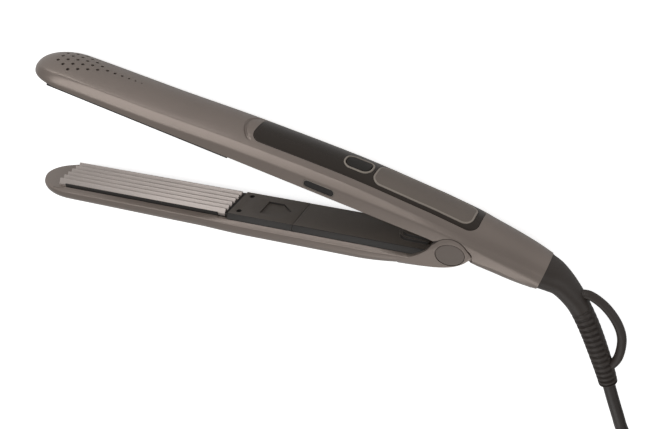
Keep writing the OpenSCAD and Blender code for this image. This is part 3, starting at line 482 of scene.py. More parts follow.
# %% Sections
OVAL_ANGLES = [-90, -72, -60, -50, -40, -28, -8, 22, 33, 44, 55, 66, 78, 90]


def rounded(points, cuts, steps=5):
    """A half section with each inner corner replaced by a small curve."""
    out = [points[0]]
    for i in range(1, len(points) - 1):
        a, b, c = (np.array(points[k], float) for k in (i - 1, i, i + 1))
        la, lc = np.linalg.norm(a - b), np.linalg.norm(c - b)
        r = cuts[i]
        pa = b + (a - b)*min(r/max(la, 1e-6), 0.48)
        pc = b + (c - b)*min(r/max(lc, 1e-6), 0.48)
        for k in range(steps):
            t = k/(steps - 1)
            out.append(tuple(pa*(1 - t)**2 + 2*b*t*(1 - t) + pc*t*t))
    return out + [points[-1]]


print("a rounded corner makes", len(rounded([(0, 0), (1, 0), (1, 1)], [0, 0.3, 0])), "points of three")

# %% [markdown]
# Three shares rule how a section changes along the arm: its width and its height fall away in
# the nose, and behind the hinge it turns into the handle's oval.

# %% Shares along the arm
def plan_share(x, t):
    """Share of the full width left inside the rounded nose, at an inset t."""
    return bulge((-nose_len + nose_round - x)/(nose_round - t), 2.15)


def height_share(x, t):
    return bulge((-nose_len + nose_round + nose_rise - x)/(nose_round + nose_rise - t), 2.3)


def tail_share(x):
    """How far the arm's section has turned into the handle's oval."""
    return smooth(x, [(-14, 0), (4, 0.08), (14, 0.25), (25, 0.47), (35, 0.74), (tail_len, 1)])


print("half way down the handle the oval share is", round(tail_share(20), 2))

# %% [markdown]
# A section of the upper arm has a flat belly, a side wall, a bevel and a crown. An inset gives
# the same section for the hollow.

# %% Upper arm's section
def upper_corners(x, t=0.0, open_below=False):
    """Corners of half a section, from the middle of the belly round to the middle of the crown."""
    f, g = plan_share(x, t), height_share(x, t)
    w = (hw - t)*f
    base = smooth(x, [(-12, edge_h), (0, edge_h - 2), (11, -1.1), (20, -2.7), (tail_len, end_y - end_h/2)])
    b = base + (-1 if open_below else t)
    e = max(edge_h, base)
    rb = smooth(x, [(-12, 0.6), (11, 3.4), (24, 6), (tail_len, 6.5)])*min(f, g)
    wall = smooth(x, [(-nose_len, nose_wall), (-165, nose_wall + 1), (-110, rear_wall - 0.7),
                      (-60, rear_wall), (10, rear_wall - 0.4)])*g
    crease = wall + g*smooth(x, [(-nose_len, bevel_h - 0.2), (-165, bevel_h + 0.4), (-110, bevel_h),
                                 (-60, bevel_h - 0.1), (-20, bevel_h - 1.4), (10, bevel_h - 2.5)])
    top = crease + g*smooth(x, [(-nose_len + 30, nose_crown), (-110, rear_crown)])
    yw, yc, yt = e + wall - t*0.3, e + crease - t*0.8, e + top - t
    wc = w - bevel_w*f
    turns = [polar(rb, a) for a in (-90, -60, -30, 0)]
    arm = [(0, b), (w*0.5, b)] + [(w - rb + z, b + rb + y) for z, y in turns] + [(w, yw), (wc, yc)]
    arm += [(wc*s, yt - (yt - yc)*s*s) for s in (1 - i/6 for i in range(1, 7))]
    oval = [(math.cos(math.radians(a))*(end_w/2 - t), end_y + math.sin(math.radians(a))*(end_h/2 - t))
            for a in OVAL_ANGLES]
    k = tail_share(x)
    return [(mix(p[0], q[0], k), mix(p[1], q[1], k)) for p, q in zip(arm, oval)]


def upper_half(x, t=0.0, open_below=False, steps=5):
    """Half a section with its corners rounded; creases melt away towards the nose."""
    soft = 1 + 3.2*(1 - plan_share(x, t)) + 2.5*clip((-nose_len + 42 - x)/22)**2
    k = tail_share(x)
    cuts = [0, 0.3, 0.25, 0.25, 0.25, 0.3, mix(0.9*soft, 3, k), mix(0.55*soft, 3, k)] + [2.0]*5 + [0]
    return rounded(upper_corners(x, t, open_below), cuts, steps)


print("corners of half a section", len(upper_corners(-100)))

# %% [markdown]
# Half sections become closed rings at chosen stations, and inset pieces ask for the height of
# the crown or the belly at a place.

# %% Rings, stations and surfaces
def ring(x, half, lean=0.0):
    """A closed ring round the arm: up one side and down the other, in the part's own frame."""
    near = [(x + lean*(p[1] - end_y), p[1], hw + p[0]) for p in half]
    far = [(x + lean*(p[1] - end_y), p[1], hw - p[0]) for p in half[-2:0:-1]]
    return near + far


def nose_stations(count):
    """Places along the nose, crowded at the tip; the first one stops just short of it."""
    return [-nose_len + nose_round*(1 - math.sin(math.pi/2*k/count)*0.9995) for k in range(count, 0, -1)]


def arm_stations(x1, step):
    run = x1 + nose_len - nose_round
    n = round(run/step)
    return [-nose_len + nose_round + run*k/n for k in range(n + 1)]


def crown_at(x, z):
    """Height of the upper arm's top at a place, with z counted from the middle plane."""
    half = upper_corners(x)[-7:]
    zs = [p[0] for p in half][::-1]
    ys = [p[1] for p in half][::-1]
    a = abs(z)
    if a >= zs[-1]:
        return ys[-1]
    s = a/zs[-1]
    return ys[0] - (ys[0] - ys[-1])*s*s


def belly_at(x, z):
    half = upper_corners(x)[:5]
    return float(np.interp(abs(z), [p[0] for p in half], [p[1] for p in half]))


print("crown at the button", round(crown_at(-55.8, 0), 2), "mm")

# %% [markdown]
# ## Pads
# A pad is an inset piece with a rounded outline that lies on a curved surface: the panel,
# the inlay, the button and the covers are pads. Its rings shrink from the outline to a
# spine, so its top can follow the crown and its edge can roll over.

# %% Pads
def outline(length, width, r, inset, run=24, side=8, corner=9):
    """Rounded rectangle of equal point count at any inset, as (u, v)."""
    l, w = max(length/2 - inset, 0.0), max(width/2 - inset, 0.0)
    q = max(min(r - inset, l, w), 0.0)
    pts = []
    for cx, cy, start, nxt, n in ((l - q, w - q, 0, (-l + q, w), run),
                                  (-l + q, w - q, 90, (-l, -w + q), side),
                                  (-l + q, -w + q, 180, (l - q, -w), run),
                                  (l - q, -w + q, 270, (l, w - q), side)):
        pts += [(cx + x, cy + y) for x, y in (polar(q, start + 90*k/corner) for k in range(corner + 1))]
        last = pts[-1]
        pts += [(mix(last[0], nxt[0], k/n), mix(last[1], nxt[1], k/n)) for k in range(1, n)]
    return pts


def roll(edge, lo, hi, width, inner=10):
    """(inset, height) pairs of a pad's section, from the bottom's middle round to the top's."""
    half = width/2
    low = [(half*(1 - k/inner), lo) for k in range(inner)]
    turns = [polar(edge, a) for a in (0, 22.5, 45, 67.5, 90)]
    top = [(mix(edge, half, k/inner), hi) for k in range(1, inner + 1)]
    return low + [(0.0, lo)] + [(edge - x, hi - edge + y) for x, y in turns] + top


def pad(name, place, length, width, r, profile, run=24, wrap=False):
    """A closed pad; place(u, v, h) puts a point of the flat pattern on the part. With wrap, the
    profile runs right round the section of a band with a hole."""
    rings = [[place(u, v, h) for u, v in outline(length, width, r, inset, run)] for inset, h in profile]
    return new_object(name, *skin(rings, cap=False, wrap=wrap))


def on_crown(cx):
    return lambda u, v, h: (cx + u, crown_at(cx + u, v) + h, hw + v)


def on_belly(cx):
    return lambda u, v, h: (cx + u, belly_at(cx + u, v) + h, hw + v)


def on_side(cx, cy, lean=0.0):
    c, s = polar(1, lean)
    return lambda u, v, h: (cx + u*c - v*s, cy + u*s + v*c, body_w + h)


print("points round a pad", len(outline(10, 6, 2, 0)))

# %% [markdown]
# Plain slabs, drums and bars serve as cutters and as seats.

# %% Slabs, drums and bars
def prism(name, points, z0, z1):
    """A slab across the arm from an outline drawn in X and Y."""
    return new_object(name, *skin([[(x, y, z) for x, y in points] for z in (z0, z1)]))


def drum(name, x, y, r, z0, z1, count=64):
    turns = [polar(r, 360*k/count) for k in range(count)]
    return prism(name, [(x + u, y + v) for u, v in turns], z0, z1)


def brick(name, x0, x1, y0, y1, z0, z1):
    return prism(name, [(x0, y0), (x1, y0), (x1, y1), (x0, y1)], z0, z1)


def plug_bar(name, x0, x1):
    """A round bar along X in the middle of the handle's oval end."""
    turns = [polar(4.5, a) for a in range(0, 360, 8)]
    return new_object(name, *skin([[(x, end_y + y, hw + z) for y, z in turns] for x in (x0, x1)]))


print("a drum of 64 sides is round within", round(1 - math.cos(math.pi/64), 4), "of its radius")

# %% [markdown]
# ## Upper arm
# The upper arm is one painted shell that runs from the vented nose to the oval end of the
# handle. It is made as an outer skin with its hollow taken out, and the barrel that the hinge
# pin runs through is joined on.

# %% Upper shell's body
outer = [ring(x, upper_half(x), end_tilt*tail_share(x))
         for x in nose_stations(26) + arm_stations(tail_len, 3.2)]
upper_shell = new_object("upper_arm_shell", *skin(outer))
hollow_x0 = -nose_len + 12.5
hollow_nose = [hollow_x0 + d for d in (0, 2, 5, 8.5)]
inner_x = hollow_nose + arm_stations(-11, 9) + [-9.5, -5, 0, 6, 12, 18, 24, 30, 36]
inner = [ring(x, upper_half(x, shell_t, x < -10, 3), end_tilt*tail_share(x)) for x in inner_x]
hollow = new_object("hollow", *skin(inner))
block_w = body_w - 2*cheek_t - 0.8
barrel = drum("barrel", 0, 0, 6.4, hw - block_w/2, hw + block_w/2, 96)
core = brick("core", -9.4, 9.4, 0, edge_h + 4.6, hw - block_w/2, hw + block_w/2)
cut(hollow, [core])
cut(upper_shell, [hollow])
cut(upper_shell, [barrel], "UNION")
print("upper shell", len(upper_shell.data.polygons), "faces")

# %% [markdown]
# The vent holes stand in a lattice with its point towards the handle, followed by a row of
# shrinking holes. Their number and steps are a rule, so Geometry Nodes places them. Two
# helpers come first: one makes an empty tree with named inputs, the other runs a tree.

# %% Geometry trees
def tree_with(name, sizes):
    """An empty geometry tree with a named input for each size."""
    tree = bpy.data.node_groups.new(name, "GeometryNodeTree")
    kinds = ((int, "Int"), (float, "Float"), (tuple, "Vector"), (bpy.types.Material, "Material"))
    for key, value in sizes.items():
        kind = next(word for known, word in kinds if isinstance(value, known))
        tree.interface.new_socket(key, in_out="INPUT", socket_type="NodeSocket" + kind)
    tree.interface.new_socket("Geometry", in_out="OUTPUT", socket_type="NodeSocketGeometry")
    given = tree.nodes.new("NodeGroupInput").outputs
    return tree, {key: given[key] for key in sizes}


def finish_tree(tree, parts, material):
    """Joins the parts, makes them real, gives them their finish and sends them out."""
    joined = add(tree, "GeometryNodeJoinGeometry")
    for part in parts:
        tree.links.new(part.outputs[0], joined.inputs[0])
    real = add(tree, "GeometryNodeRealizeInstances", {"Geometry": joined})
    finished = add(tree, "GeometryNodeSetMaterial", {"Geometry": real, "Material": material})
    add(tree, "NodeGroupOutput", {0: finished})


def grown(name, tree, sizes):
    """The mesh that a geometry tree makes with these sizes."""
    obj = linked(name, bpy.data.meshes.new(name))
    mod = obj.modifiers.new("grow", "NODES")
    mod.node_group = tree
    for item in tree.interface.items_tree:
        if item.in_out == "INPUT":
            mod[item.identifier] = sizes[item.name]
    keep_result(obj, mod)
    tidy(obj)
    return obj


print("geometry trees so far", len(bpy.data.node_groups))

# %% [markdown]
# A hole's place in the lattice comes from its number: row and column add up along the arm,
# and their difference steps across it. The row behind the point closes up as it runs on.

# %% Vent holes
vent_sizes = {"Start": (-0.194, 0.012, hw*0.001), "Step": (-0.00435, 0.0, 0.0022), "Side": 5,
              "Last Rank": 6.5, "Row Step": 0.00445, "Closing": -0.0001, "First Size": 0.92, "Shrink": -0.11,
              "Diameter": 0.0017, "Depth": 0.014, "Finish": lacquer}
vent_tree, given = tree_with("vent_lattice", vent_sizes)
index = add(vent_tree, "GeometryNodeInputIndex")
rank = add(vent_tree, "ShaderNodeMath", {0: index, 1: given["Side"]}, operation="DIVIDE")
row = add(vent_tree, "ShaderNodeMath", {0: rank}, operation="FLOOR")
col = add(vent_tree, "ShaderNodeMath", {0: index, 1: given["Side"]}, operation="FLOORED_MODULO")
both = add(vent_tree, "ShaderNodeMath", {0: row, 1: col}, operation="ADD")
across = add(vent_tree, "ShaderNodeMath", {0: row, 1: col}, operation="SUBTRACT")
steps = add(vent_tree, "ShaderNodeCombineXYZ", {"X": both, "Z": across})
place = add(vent_tree, "ShaderNodeVectorMath", {0: steps, 1: given["Step"], 2: given["Start"]},
            operation="MULTIPLY_ADD")
grid = add(vent_tree, "GeometryNodeMeshGrid", {"Vertices X": given["Side"], "Vertices Y": given["Side"]})
spread = add(vent_tree, "GeometryNodeSetPosition", {"Geometry": grid, "Position": place})
far_corner = add(vent_tree, "ShaderNodeMath", {0: both, 1: given["Last Rank"]}, operation="GREATER_THAN")
lattice = add(vent_tree, "GeometryNodeDeleteGeometry", {"Geometry": spread, "Selection": far_corner})
order = add(vent_tree, "ShaderNodeMath", {0: index, 1: 1.0}, operation="ADD")
closing = add(vent_tree, "ShaderNodeMath", {0: order, 1: given["Closing"], 2: given["Row Step"]},
              operation="MULTIPLY_ADD")
run_on = add(vent_tree, "ShaderNodeMath", {0: order, 1: closing}, operation="MULTIPLY")
beside = add(vent_tree, "ShaderNodeCombineXYZ", {"X": run_on})
tail_place = add(vent_tree, "ShaderNodeVectorMath", {0: beside, 1: given["Start"]}, operation="ADD")
line = add(vent_tree, "GeometryNodeMeshLine", {"Count": given["Side"]})
tail = add(vent_tree, "GeometryNodeSetPosition", {"Geometry": line, "Position": tail_place})
radius = add(vent_tree, "ShaderNodeMath", {0: given["Diameter"], 1: 0.5}, operation="MULTIPLY")
hole = add(vent_tree, "GeometryNodeMeshCylinder",
           {"Vertices": 20, "Radius": radius, "Depth": given["Depth"]})
stood = add(vent_tree, "GeometryNodeTransform", {"Geometry": hole, "Rotation": (math.pi/2, 0, 0)})
shrink = add(vent_tree, "ShaderNodeMath", {0: index, 1: given["Shrink"], 2: given["First Size"]},
             operation="MULTIPLY_ADD")
scale = add(vent_tree, "ShaderNodeCombineXYZ", {"X": shrink, "Y": 1.0, "Z": shrink})
many = add(vent_tree, "GeometryNodeInstanceOnPoints", {"Points": lattice, "Instance": stood})
few = add(vent_tree, "GeometryNodeInstanceOnPoints", {"Points": tail, "Instance": stood, "Scale": scale})
finish_tree(vent_tree, (many, few), given["Finish"])
vents = grown("vents", vent_tree, vent_sizes)
print("vent faces", len(vents.data.polygons))

# %% [markdown]
# The openings are cut as they are in the mould: the panel's bed, the button's hole, the side
# inserts' beds and a groove ahead of the panel.

# %% Openings in the upper shell
panel_len, panel_w, panel_back, panel_t, panel_r = 116, 20.4, 7.3, 0.9, 5
ring_len, ring_w, ring_band, ring_r, button_x = 15, 11.2, 1, 4.6, 55.8
inlay_len, inlay_w, inlay_x, inlay_t, inlay_r = 51, 16.4, 21.4, 0.5, 5
insert_len, insert_h, insert_x, insert_t = 16, 4, 68.3, 1
insert_y = edge_h + 3.6
panel_mid = panel_back - panel_len/2
seam, glue = 0.12, 0.03
log_r, button_top = 20, crown_at(-button_x, 0)


def on_log(u, v, h):
    """The button and its ring keep one curve across the arm."""
    return (-button_x + u, button_top + math.sqrt(max(log_r**2 - v*v, 0)) - log_r + h, hw + v)


def oval_line(length, width, inset):
    """An ellipse at any inset, as (u, v)."""
    l, w = max(length/2 - inset, 0.0), max(width/2 - inset, 0.0)
    return [(l*math.cos(2*math.pi*k/96), w*math.sin(2*math.pi*k/96)) for k in range(96)]


def bed(name, place, length, width, r, depth, spare, run=24, above=2):
    """The cutter for an inset piece: its outline with some spare room all round."""
    length, width = length + 2*spare, width + 2*spare
    return pad(name, place, length, width, r + spare, roll(0.02, -depth, above, width), run)


panel_bed = bed("panel_bed", on_crown(panel_mid), panel_len, panel_w, panel_r, panel_t, seam, 60)
button_hole = bed("button_hole", on_log, ring_len, ring_w, ring_r, 6, -ring_band)
insert_bed = pad("insert_bed", on_side(-insert_x, insert_y), insert_len + 2*seam, insert_h + 2*seam,
                 insert_h*0.49, roll(0.02, -insert_t, 1, insert_h + 2*seam, 4))
groove_x = panel_back - panel_len + 5
groove_section = ((0, 1), (0.1, 0.05), (0.3, -0.2), (1.1, -0.75),
                  (1.5, -0.7), (1.9, -0.1), (2.1, 0.05), (2.2, 1))
groove_rings = []
for inset, h in groove_section:
    line = [(u, v, mix(h, max(h, 0.2), clip((u + 7)/4))) for u, v in oval_line(24.4, 25.8, inset)]
    groove_rings.append([(groove_x + u, crown_at(groove_x + u, v) + rise, hw + v) for u, v, rise in line])
groove = new_object("groove", *skin(groove_rings, cap=False, wrap=True))
cut(upper_shell, [groove, panel_bed, button_hole, mirrored(insert_bed, "insert_bed_far"), insert_bed, vents])
print("upper shell", len(upper_shell.data.polygons), "faces after the first openings")

# %% [markdown]
# Each cheek of the lower arm turns in a room in the upper shell's side. The room is the
# outline that the cheek sweeps while the jaw closes, with a small gap round it.

# %% Rooms for the cheeks
arc = [polar(cheek_r, a) for a in range(145, 39, -5)]
sweep = [(7.9, 3.9), (9.3, 2.3), (10, 0.7), (9.1, -0.6), (7.4, -2.3), (5.1, -4), (1.7, -5.7), (-1.7, -6.8),
         (-5.8, -7.6), (-10, -8.2), (-15.6, -9), (-22.7, -9.8), (-26, -10.1)]
front = [(-26, -5.3), (-19.5, -4.3), (-15.6, -2.6), (-12.6, -0.6), (-10.1, 1.9), (-8.4, 4.6)]
cheek_line = arc + [tuple(along(sweep, k*0.25)) for k in range(0, 49)] \
    + [tuple(along(front, k*0.25)) for k in range(0, 20)]
room_gap, room_limit = 0.28, 10.5
swept = [cheek_r]*360
for (ax, ay), (bx, by) in zip(cheek_line, cheek_line[1:] + cheek_line[:1]):
    for k in range(8):
        x, y = mix(ax, bx, k/8), mix(ay, by, k/8)
        for turn in range(-1, open_angle + 1):
            a = round(math.degrees(math.atan2(y, x))) + turn
            swept[a % 360] = min(max(swept[a % 360], math.hypot(x, y)), room_limit)
room = []
for a in range(0, 360, 3):
    room.append(polar(max(swept[(a + k) % 360] for k in (-2, -1, 0, 1, 2)) + room_gap, a))
cheek_room = prism("cheek_room", room, hw + block_w/2, body_w + 1)
bore = drum("bore", 0, 0, pin_d/2, 0.5, body_w - 0.5)
cut(upper_shell, [mirrored(cheek_room, "cheek_room_far"), cheek_room, bore])
print("the cheeks sweep out to", round(max(swept), 2), "mm")

# %% [markdown]
# The handle's underside has a bed for a hatch, and its oval end is open for the rubber
# sleeve. With that the upper shell is complete.

# %% Handle's openings
hatch_x0, hatch_x1, hatch_w, hatch_r, hatch_t = tail_len - 28, tail_len - 1.6, 17.6, 3, shell_t + 0.4
hatch_mid, hatch_l = (hatch_x0 + hatch_x1)/2, hatch_x1 - hatch_x0
hatch_bed = pad("hatch_bed", on_belly(hatch_mid), hatch_l + 0.2, hatch_w + 0.2, hatch_r,
                roll(0.02, -2, hatch_t, hatch_w + 0.2))
cut(upper_shell, [hatch_bed, plug_bar("mouth", tail_len - 7, tail_len + 2)])
finish_piece(upper_shell, "casing", ["upper_shell"], 32, lacquer)
print("upper shell", len(upper_shell.data.polygons), "faces after its openings")

# %% [markdown]
# ## Panel, inlay, button
# The panel is a thin gloss-black strip glued into its bed. The grey inlay lies in it, and
# the button stands in a grey ring.

# %% Panel and what is set in it
panel = pad("control_panel_strip", on_crown(panel_mid), panel_len, panel_w, panel_r,
            roll(0.3, -panel_t + glue, 0.02, panel_w, 14), 60)
inlay_bed = bed("inlay_bed", on_crown(-inlay_x), inlay_len, inlay_w, inlay_r, inlay_t, 0.15, 40)
ring_bed = bed("ring_bed", on_log, ring_len, ring_w, ring_r, 5, 0.12, 24, 3)
cut(panel, [inlay_bed, ring_bed])
finish_piece(panel, "casing", ["control_panel"], 34, panel_black)
print("panel", len(panel.data.polygons), "faces")

# %% [markdown]
# The inlay is a pad too, with a lip that stands round a lower field; a painted highlight lies on the lip.

# %% Inlay
lip = 0.75
inlay_profile = roll(0.4, -inlay_t + glue, 0.16, inlay_w, 12)[:12 + 1 + 5]
inlay_profile += [(lip, 0.16), (lip + 0.2, -0.02), (lip + 0.4, -0.06)]
inlay_profile += [(mix(lip + 0.4, inlay_w/2, k/10), -0.06) for k in range(1, 11)]
inlay = pad("panel_inlay_plate", on_crown(-inlay_x), inlay_len, inlay_w, inlay_r, inlay_profile, run=40)
finish_piece(inlay, "casing", ["panel_inlay"], 30, inlay_grey)
# painted highlight: the lip's upward faces get the light ring grey
painted_light_faces(inlay, ring_grey_and_highlight, lambda c, n: c.y - crown_at(c.x, c.z - hw) > 0.06 and n.y > 0.3)
print("inlay", len(inlay.data.polygons), "faces")

# %% [markdown]
# The button is a key with a skirt under its top, which keeps it in its hole. Its ring is a
# band whose section is a low arch.

# %% Ring and button
ring_profile = [(0, -0.6), (0, -0.05), (0.08, 0.15), (0.25, 0.24), (0.5, 0.25), (0.75, 0.24), (0.92, 0.15),
                (ring_band, -0.05), (ring_band, -0.6)]
bezel = pad("button_ring", on_log, ring_len, ring_w, ring_r, ring_profile, wrap=True)
# the ring's own grey, lightened as a painted highlight
finish_piece(bezel, "casing", ["button_bezel"], 30, ring_grey_and_highlight)
key_l, key_w = ring_len - 2*ring_band - 0.7, ring_w - 2*ring_band - 0.7
key_floor = -shell_t - 2.2
skirt = -1.35
key_profile = [(mix(key_w/2, skirt, k/4), key_floor - 1) for k in range(5)]
key_profile += [(skirt, key_floor), (0, key_floor), (0, -0.3)]
key_profile += [(0.4 - x, -0.3 + y) for x, y in (polar(0.4, a) for a in (22, 45, 67, 90))]
key_profile += [(mix(0.4, key_w/2, k/10), 0.1 - 0.18*(1 - (1 - k/10)**2)) for k in range(1, 11)]
key = pad("power_key", on_log, key_l, key_w, ring_r - ring_band - 0.35, key_profile)
finish_piece(key, "button", ["power_button"], 30, key_black)
print("key", len(key.data.polygons), "faces")

# %% [markdown]
# ## Side inserts
# A small oval insert is pressed into each side wall. It has a raised rim round a darker field;
# the rim's light grey is a painted highlight.

# %% Side inserts
insert_profile = roll(0.15, -insert_t + glue, -0.02, insert_h, 4)[:4 + 1 + 5]
insert_profile += [(0.26, -0.02), (0.36, -0.24)] + [(mix(0.36, insert_h/2, k/5), -0.24) for k in range(1, 6)]
insert_near = pad("side_insert_near_side", on_side(-insert_x, insert_y), insert_len, insert_h, insert_h*0.49,
                  insert_profile)
for piece, node in ((insert_near, "side_insert_near"),
                    (mirrored(insert_near, "side_insert_far_side"), "side_insert_far")):
    finish_piece(piece, "casing", [node], 30, insert_black)
    # painted highlight: the raised rim's top faces get the light ring grey
    painted_light_faces(piece, ring_grey_and_highlight, lambda c, n: abs(c.z - hw) > hw - 0.1)
print("insert", len(insert_near.data.polygons), "faces")

# %% [markdown]
# ## Lower arm
# The jaw has the same construction: a painted shell with a thin rim, here without its cheeks.
# It is drawn in its own frame, with the hinge at the origin, and turned open at the end.

# %% Lower shell
low_t = shell_t + 0.4


def rim_outer(x):
    return smooth(x, [(-132, rim_h + 0.8), (-106, rim_h + 1.6), (-45, rim_h + 1.6), (-24, rim_h + 0.9)])


def lower_half(x, t=0.0, steps=5):
    f, g = plan_share(x, t), height_share(x, t)
    w, inside = (hw - t)*f, 1 if t > 0 else 0
    side = mix(rim_outer(x), rim_outer(x) + low_wall, g)
    crease = side + low_bevel_h*g
    base = crease + low_crown*g
    e = clip((x + 50)/38)
    lift = (e*e*4 + smooth(x, [(-nose_len, 1.3), (-110, 0)]))*g
    points = [(0, base - t - lift)]
    points += [(w*s, mix(crease, base, share) - t - lift) for s, share in ((0.3, 0.9), (0.62, 0.62))]
    points += [(w - 1.6*f, crease - t*0.8 - lift*0.8), (w, side - lift*0.4), (w, rim_outer(x) - inside*2.6),
               (w - 2.2*f, rim_h - inside), (w*0.5, rim_h - inside), (0, rim_h - inside)]
    soft = 1 + 3*(1 - f)
    cuts = [0, 3.5, 3.5, 1.3*soft, 1.1*soft, 0.35, 0.25, 0.5, 0]
    return rounded([(z, -y) for z, y in points], cuts, steps)


low_rings = [ring(x, lower_half(x)) for x in nose_stations(24) + arm_stations(-12, 3.2)]
lower_shell = new_object("lower_arm_shell", *skin(low_rings))
low_inner = [ring(x, lower_half(x, low_t, 3)) for x in hollow_nose + arm_stations(-16, 9)]
cut(lower_shell, [new_object("low_hollow", *skin(low_inner))])
print("lower shell", len(lower_shell.data.polygons), "faces without its cheeks")

# %% [markdown]
# A cheek is a flat slab with a rounded outer edge. Two long wedges thin it towards the arm,
# so that its lines run out into the shell's own.

# %% Cheeks
cheek = prism("cheek", cheek_line, hw + hw - cheek_t, body_w)
bm = bmesh.new()
bm.from_mesh(cheek.data)
outer_rim = {v for v in bm.verts
             if abs(v.co.z - body_w*0.001) < 1e-6 and v.co.y > -0.0077 and v.co.x > -0.02}
rim_edges = [e for e in bm.edges if set(e.verts) <= outer_rim]
bmesh.ops.bevel(bm, geom=rim_edges, offset=0.0008, segments=3, profile=0.5, affect="EDGES",
                clamp_overlap=True)
bm.to_mesh(cheek.data)
bm.free()


def wedge(name, line, x0, x1, drop, across, side):
    """A long wedge that takes the slab's outer edge off and fades out towards x1."""
    xs, ys = zip(*sorted(line))
    rings = []
    for k in range(13):
        x = mix(x0, x1, k/12)
        share = max(1 - k/12, 0.03)
        y = float(np.interp(x, xs, ys))
        a = np.array((y + side*drop*share, body_w))
        b = np.array((y, body_w - across*share))
        a, b = a + (a - b)*0.3, b - (a - b)*0.3
        rings.append([(x, a[0], a[1]), (x, b[0], b[1]), (x, y - side*1.6, body_w + 1.6)])
    return new_object(name, *skin(rings))


cut(cheek, [wedge("edge_wedge", sweep[8:], -26.6, -8, 2.3, 1.6, 1),
            wedge("rim_wedge", front[:4], -26.6, -13.5, 1.4, 2.2, -1)])
print("cheek", len(cheek.data.polygons), "faces")

# %% [markdown]
# The plate lies between lacquered seats in the shell's mouth. Then the cheeks are joined on,
# and the room for the barrel, the cover and the pin is cut between them.

# %% Seats, cheeks and caps
plate_len, tip_gap = 100, 14.5
plate_x0, plate_x1 = -nose_len + tip_gap, -nose_len + tip_gap + plate_len
seat_x0, seat_x1 = plate_x0 + 4.5, plate_x1 - 3.8
low_half = hw - low_t + 0.15
seat_y = -rim_h - 0.02
seats = [brick("front_seat", hollow_x0 - 0.6, seat_x0, -6, seat_y, hw - low_half, hw + low_half)]
for s in (-1, 1):
    seats.append(brick("rear_seat", seat_x1, plate_x1 + 1.8, -6, seat_y, hw + s*low_half, hw + s*11.95))
for s in (-1, 1):
    lip_line = [(12.4, -6), (low_half, -6), (low_half, seat_y), (12.4, -rim_h + 0.35)]
    seats.append(new_object("side_seat", *skin([[(x, y, hw + s*z) for z, y in lip_line]
                                                for x in (seat_x0 - 0.5, seat_x1 + 0.5)])))
cut(lower_shell, seats + [mirrored(cheek, "cheek_far"), cheek], "UNION")
low_cover_half = hw - low_t - 0.3
gap_z = (cheek_t, body_w - cheek_t)


def oval_pad(name, length, width, profile):
    """A pad with an oval outline in the middle of the near cheek."""
    place = on_side(0, 0.25, 8)
    rings = [[place(u, v, h) for u, v in oval_line(length, width, inset)] for inset, h in profile]
    return new_object(name, *skin(rings, cap=False))


cap_bed = oval_pad("cap_bed", 14.5, 11.3, roll(0.02, -cap_t, 1, 11.3, 4))
cover_z = low_cover_half + 0.1
cut(lower_shell, [drum("swing", 0, 0, 11, *gap_z, 96),
                  brick("gap", -20, 12, -rim_h - 0.4, 8, *gap_z),
                  brick("cover_room", -27, -11.4, -rim_h - 1.6, 1, hw - cover_z, hw + cover_z),
                  drum("pin_bore", 0, 0, pin_d/2 + 0.05, -1, body_w + 1),
                  mirrored(cap_bed, "cap_bed_far"), cap_bed])
lower_shell.data.transform(TURN)
finish_piece(lower_shell, "jaw", ["lower_shell"], 32, lacquer)
cap = oval_pad("hinge_cap_near_side", 14, 10.8, roll(0.3, -cap_t + 0.02, -0.02, 10.8, 8))
cap_far = mirrored(cap, "hinge_cap_far_side")
for piece, node in ((cap, "hinge_cap_near"), (cap_far, "hinge_cap_far")):
    piece.data.transform(TURN)
    finish_piece(piece, "jaw", [node], 30, cap_grey)
print("lower shell", len(lower_shell.data.polygons), "faces")

# %% [markdown]
# ## Covers, plates and what they carry
# The black inner parts are nylon mouldings with small rounded edges. The plates are
# extruded aluminium with a ceramic coat, so their ridges run straight and end square.

# %% Inner parts
for node, name, radius, body, material, slot in (
        ("upper_inner_cover", "upper_cover_strip", 0.3, "casing", nylon_black, "black_plastic"),
        ("upper_plate_carrier", "upper_plate_tray", 0.25, "casing", tray_black_and_shade, "black_plastic"),
        ("upper_crimp_plate", "upper_ridged_plate", 0.14, "casing", plate_silver, "plate_coating"),
        # the hatch's darker lacquer is painted shade
        ("handle_cover", "handle_hatch", 0.2, "casing", lacquer_painted_shade, "shell_lacquer"),
        ("lock_slider", "jaw_lock", 0.25, "lock", nylon_black, "black_plastic"),
        ("lower_inner_cover", "lower_cover_strip", 0.3, "jaw", nylon_black, "black_plastic"),
        ("lower_plate_retainer", "lower_plate_strip", 0.3, "jaw", nylon_black, "black_plastic"),
        ("lower_crimp_plate", "lower_ridged_plate", 0.14, "jaw", plate_silver, "plate_coating")):
    piece = softened(node, name, radius, body, material, 3)
    # painted shade: the strips' side faces get the darker tray nylon
    if name in ("lower_cover_strip", "lower_plate_strip"):
        painted_light_faces(piece, tray_black_and_shade, lambda c, n: abs(n.z) > 0.45)
trims = [brick("front_trim", hollow_x0 - 1, seat_x0 + 0.05, -6.05, 0, hw - 13, hw + 13)]
for s in (-1, 1):
    trims.append(brick("rear_trim", seat_x1 - 0.05, plate_x1 + 2, -6.05, 0, hw + s*13, hw + s*11.03))
for trim in trims:
    trim.data.transform(TURN)
softened("lower_plate_carrier", "lower_plate_tray", 0.2, "jaw", tray_black_and_shade, 3, trims)
print("inner parts done")

# %% [markdown]
# ## Strain relief and hanging loop
# One rubber moulding: a collar that matches the handle's oval end, a bending sleeve whose
# grooves cross its faces but leave a smooth spine on each edge, and a strap that leaves the
# collar and comes back to the sleeve as a hanging loop.

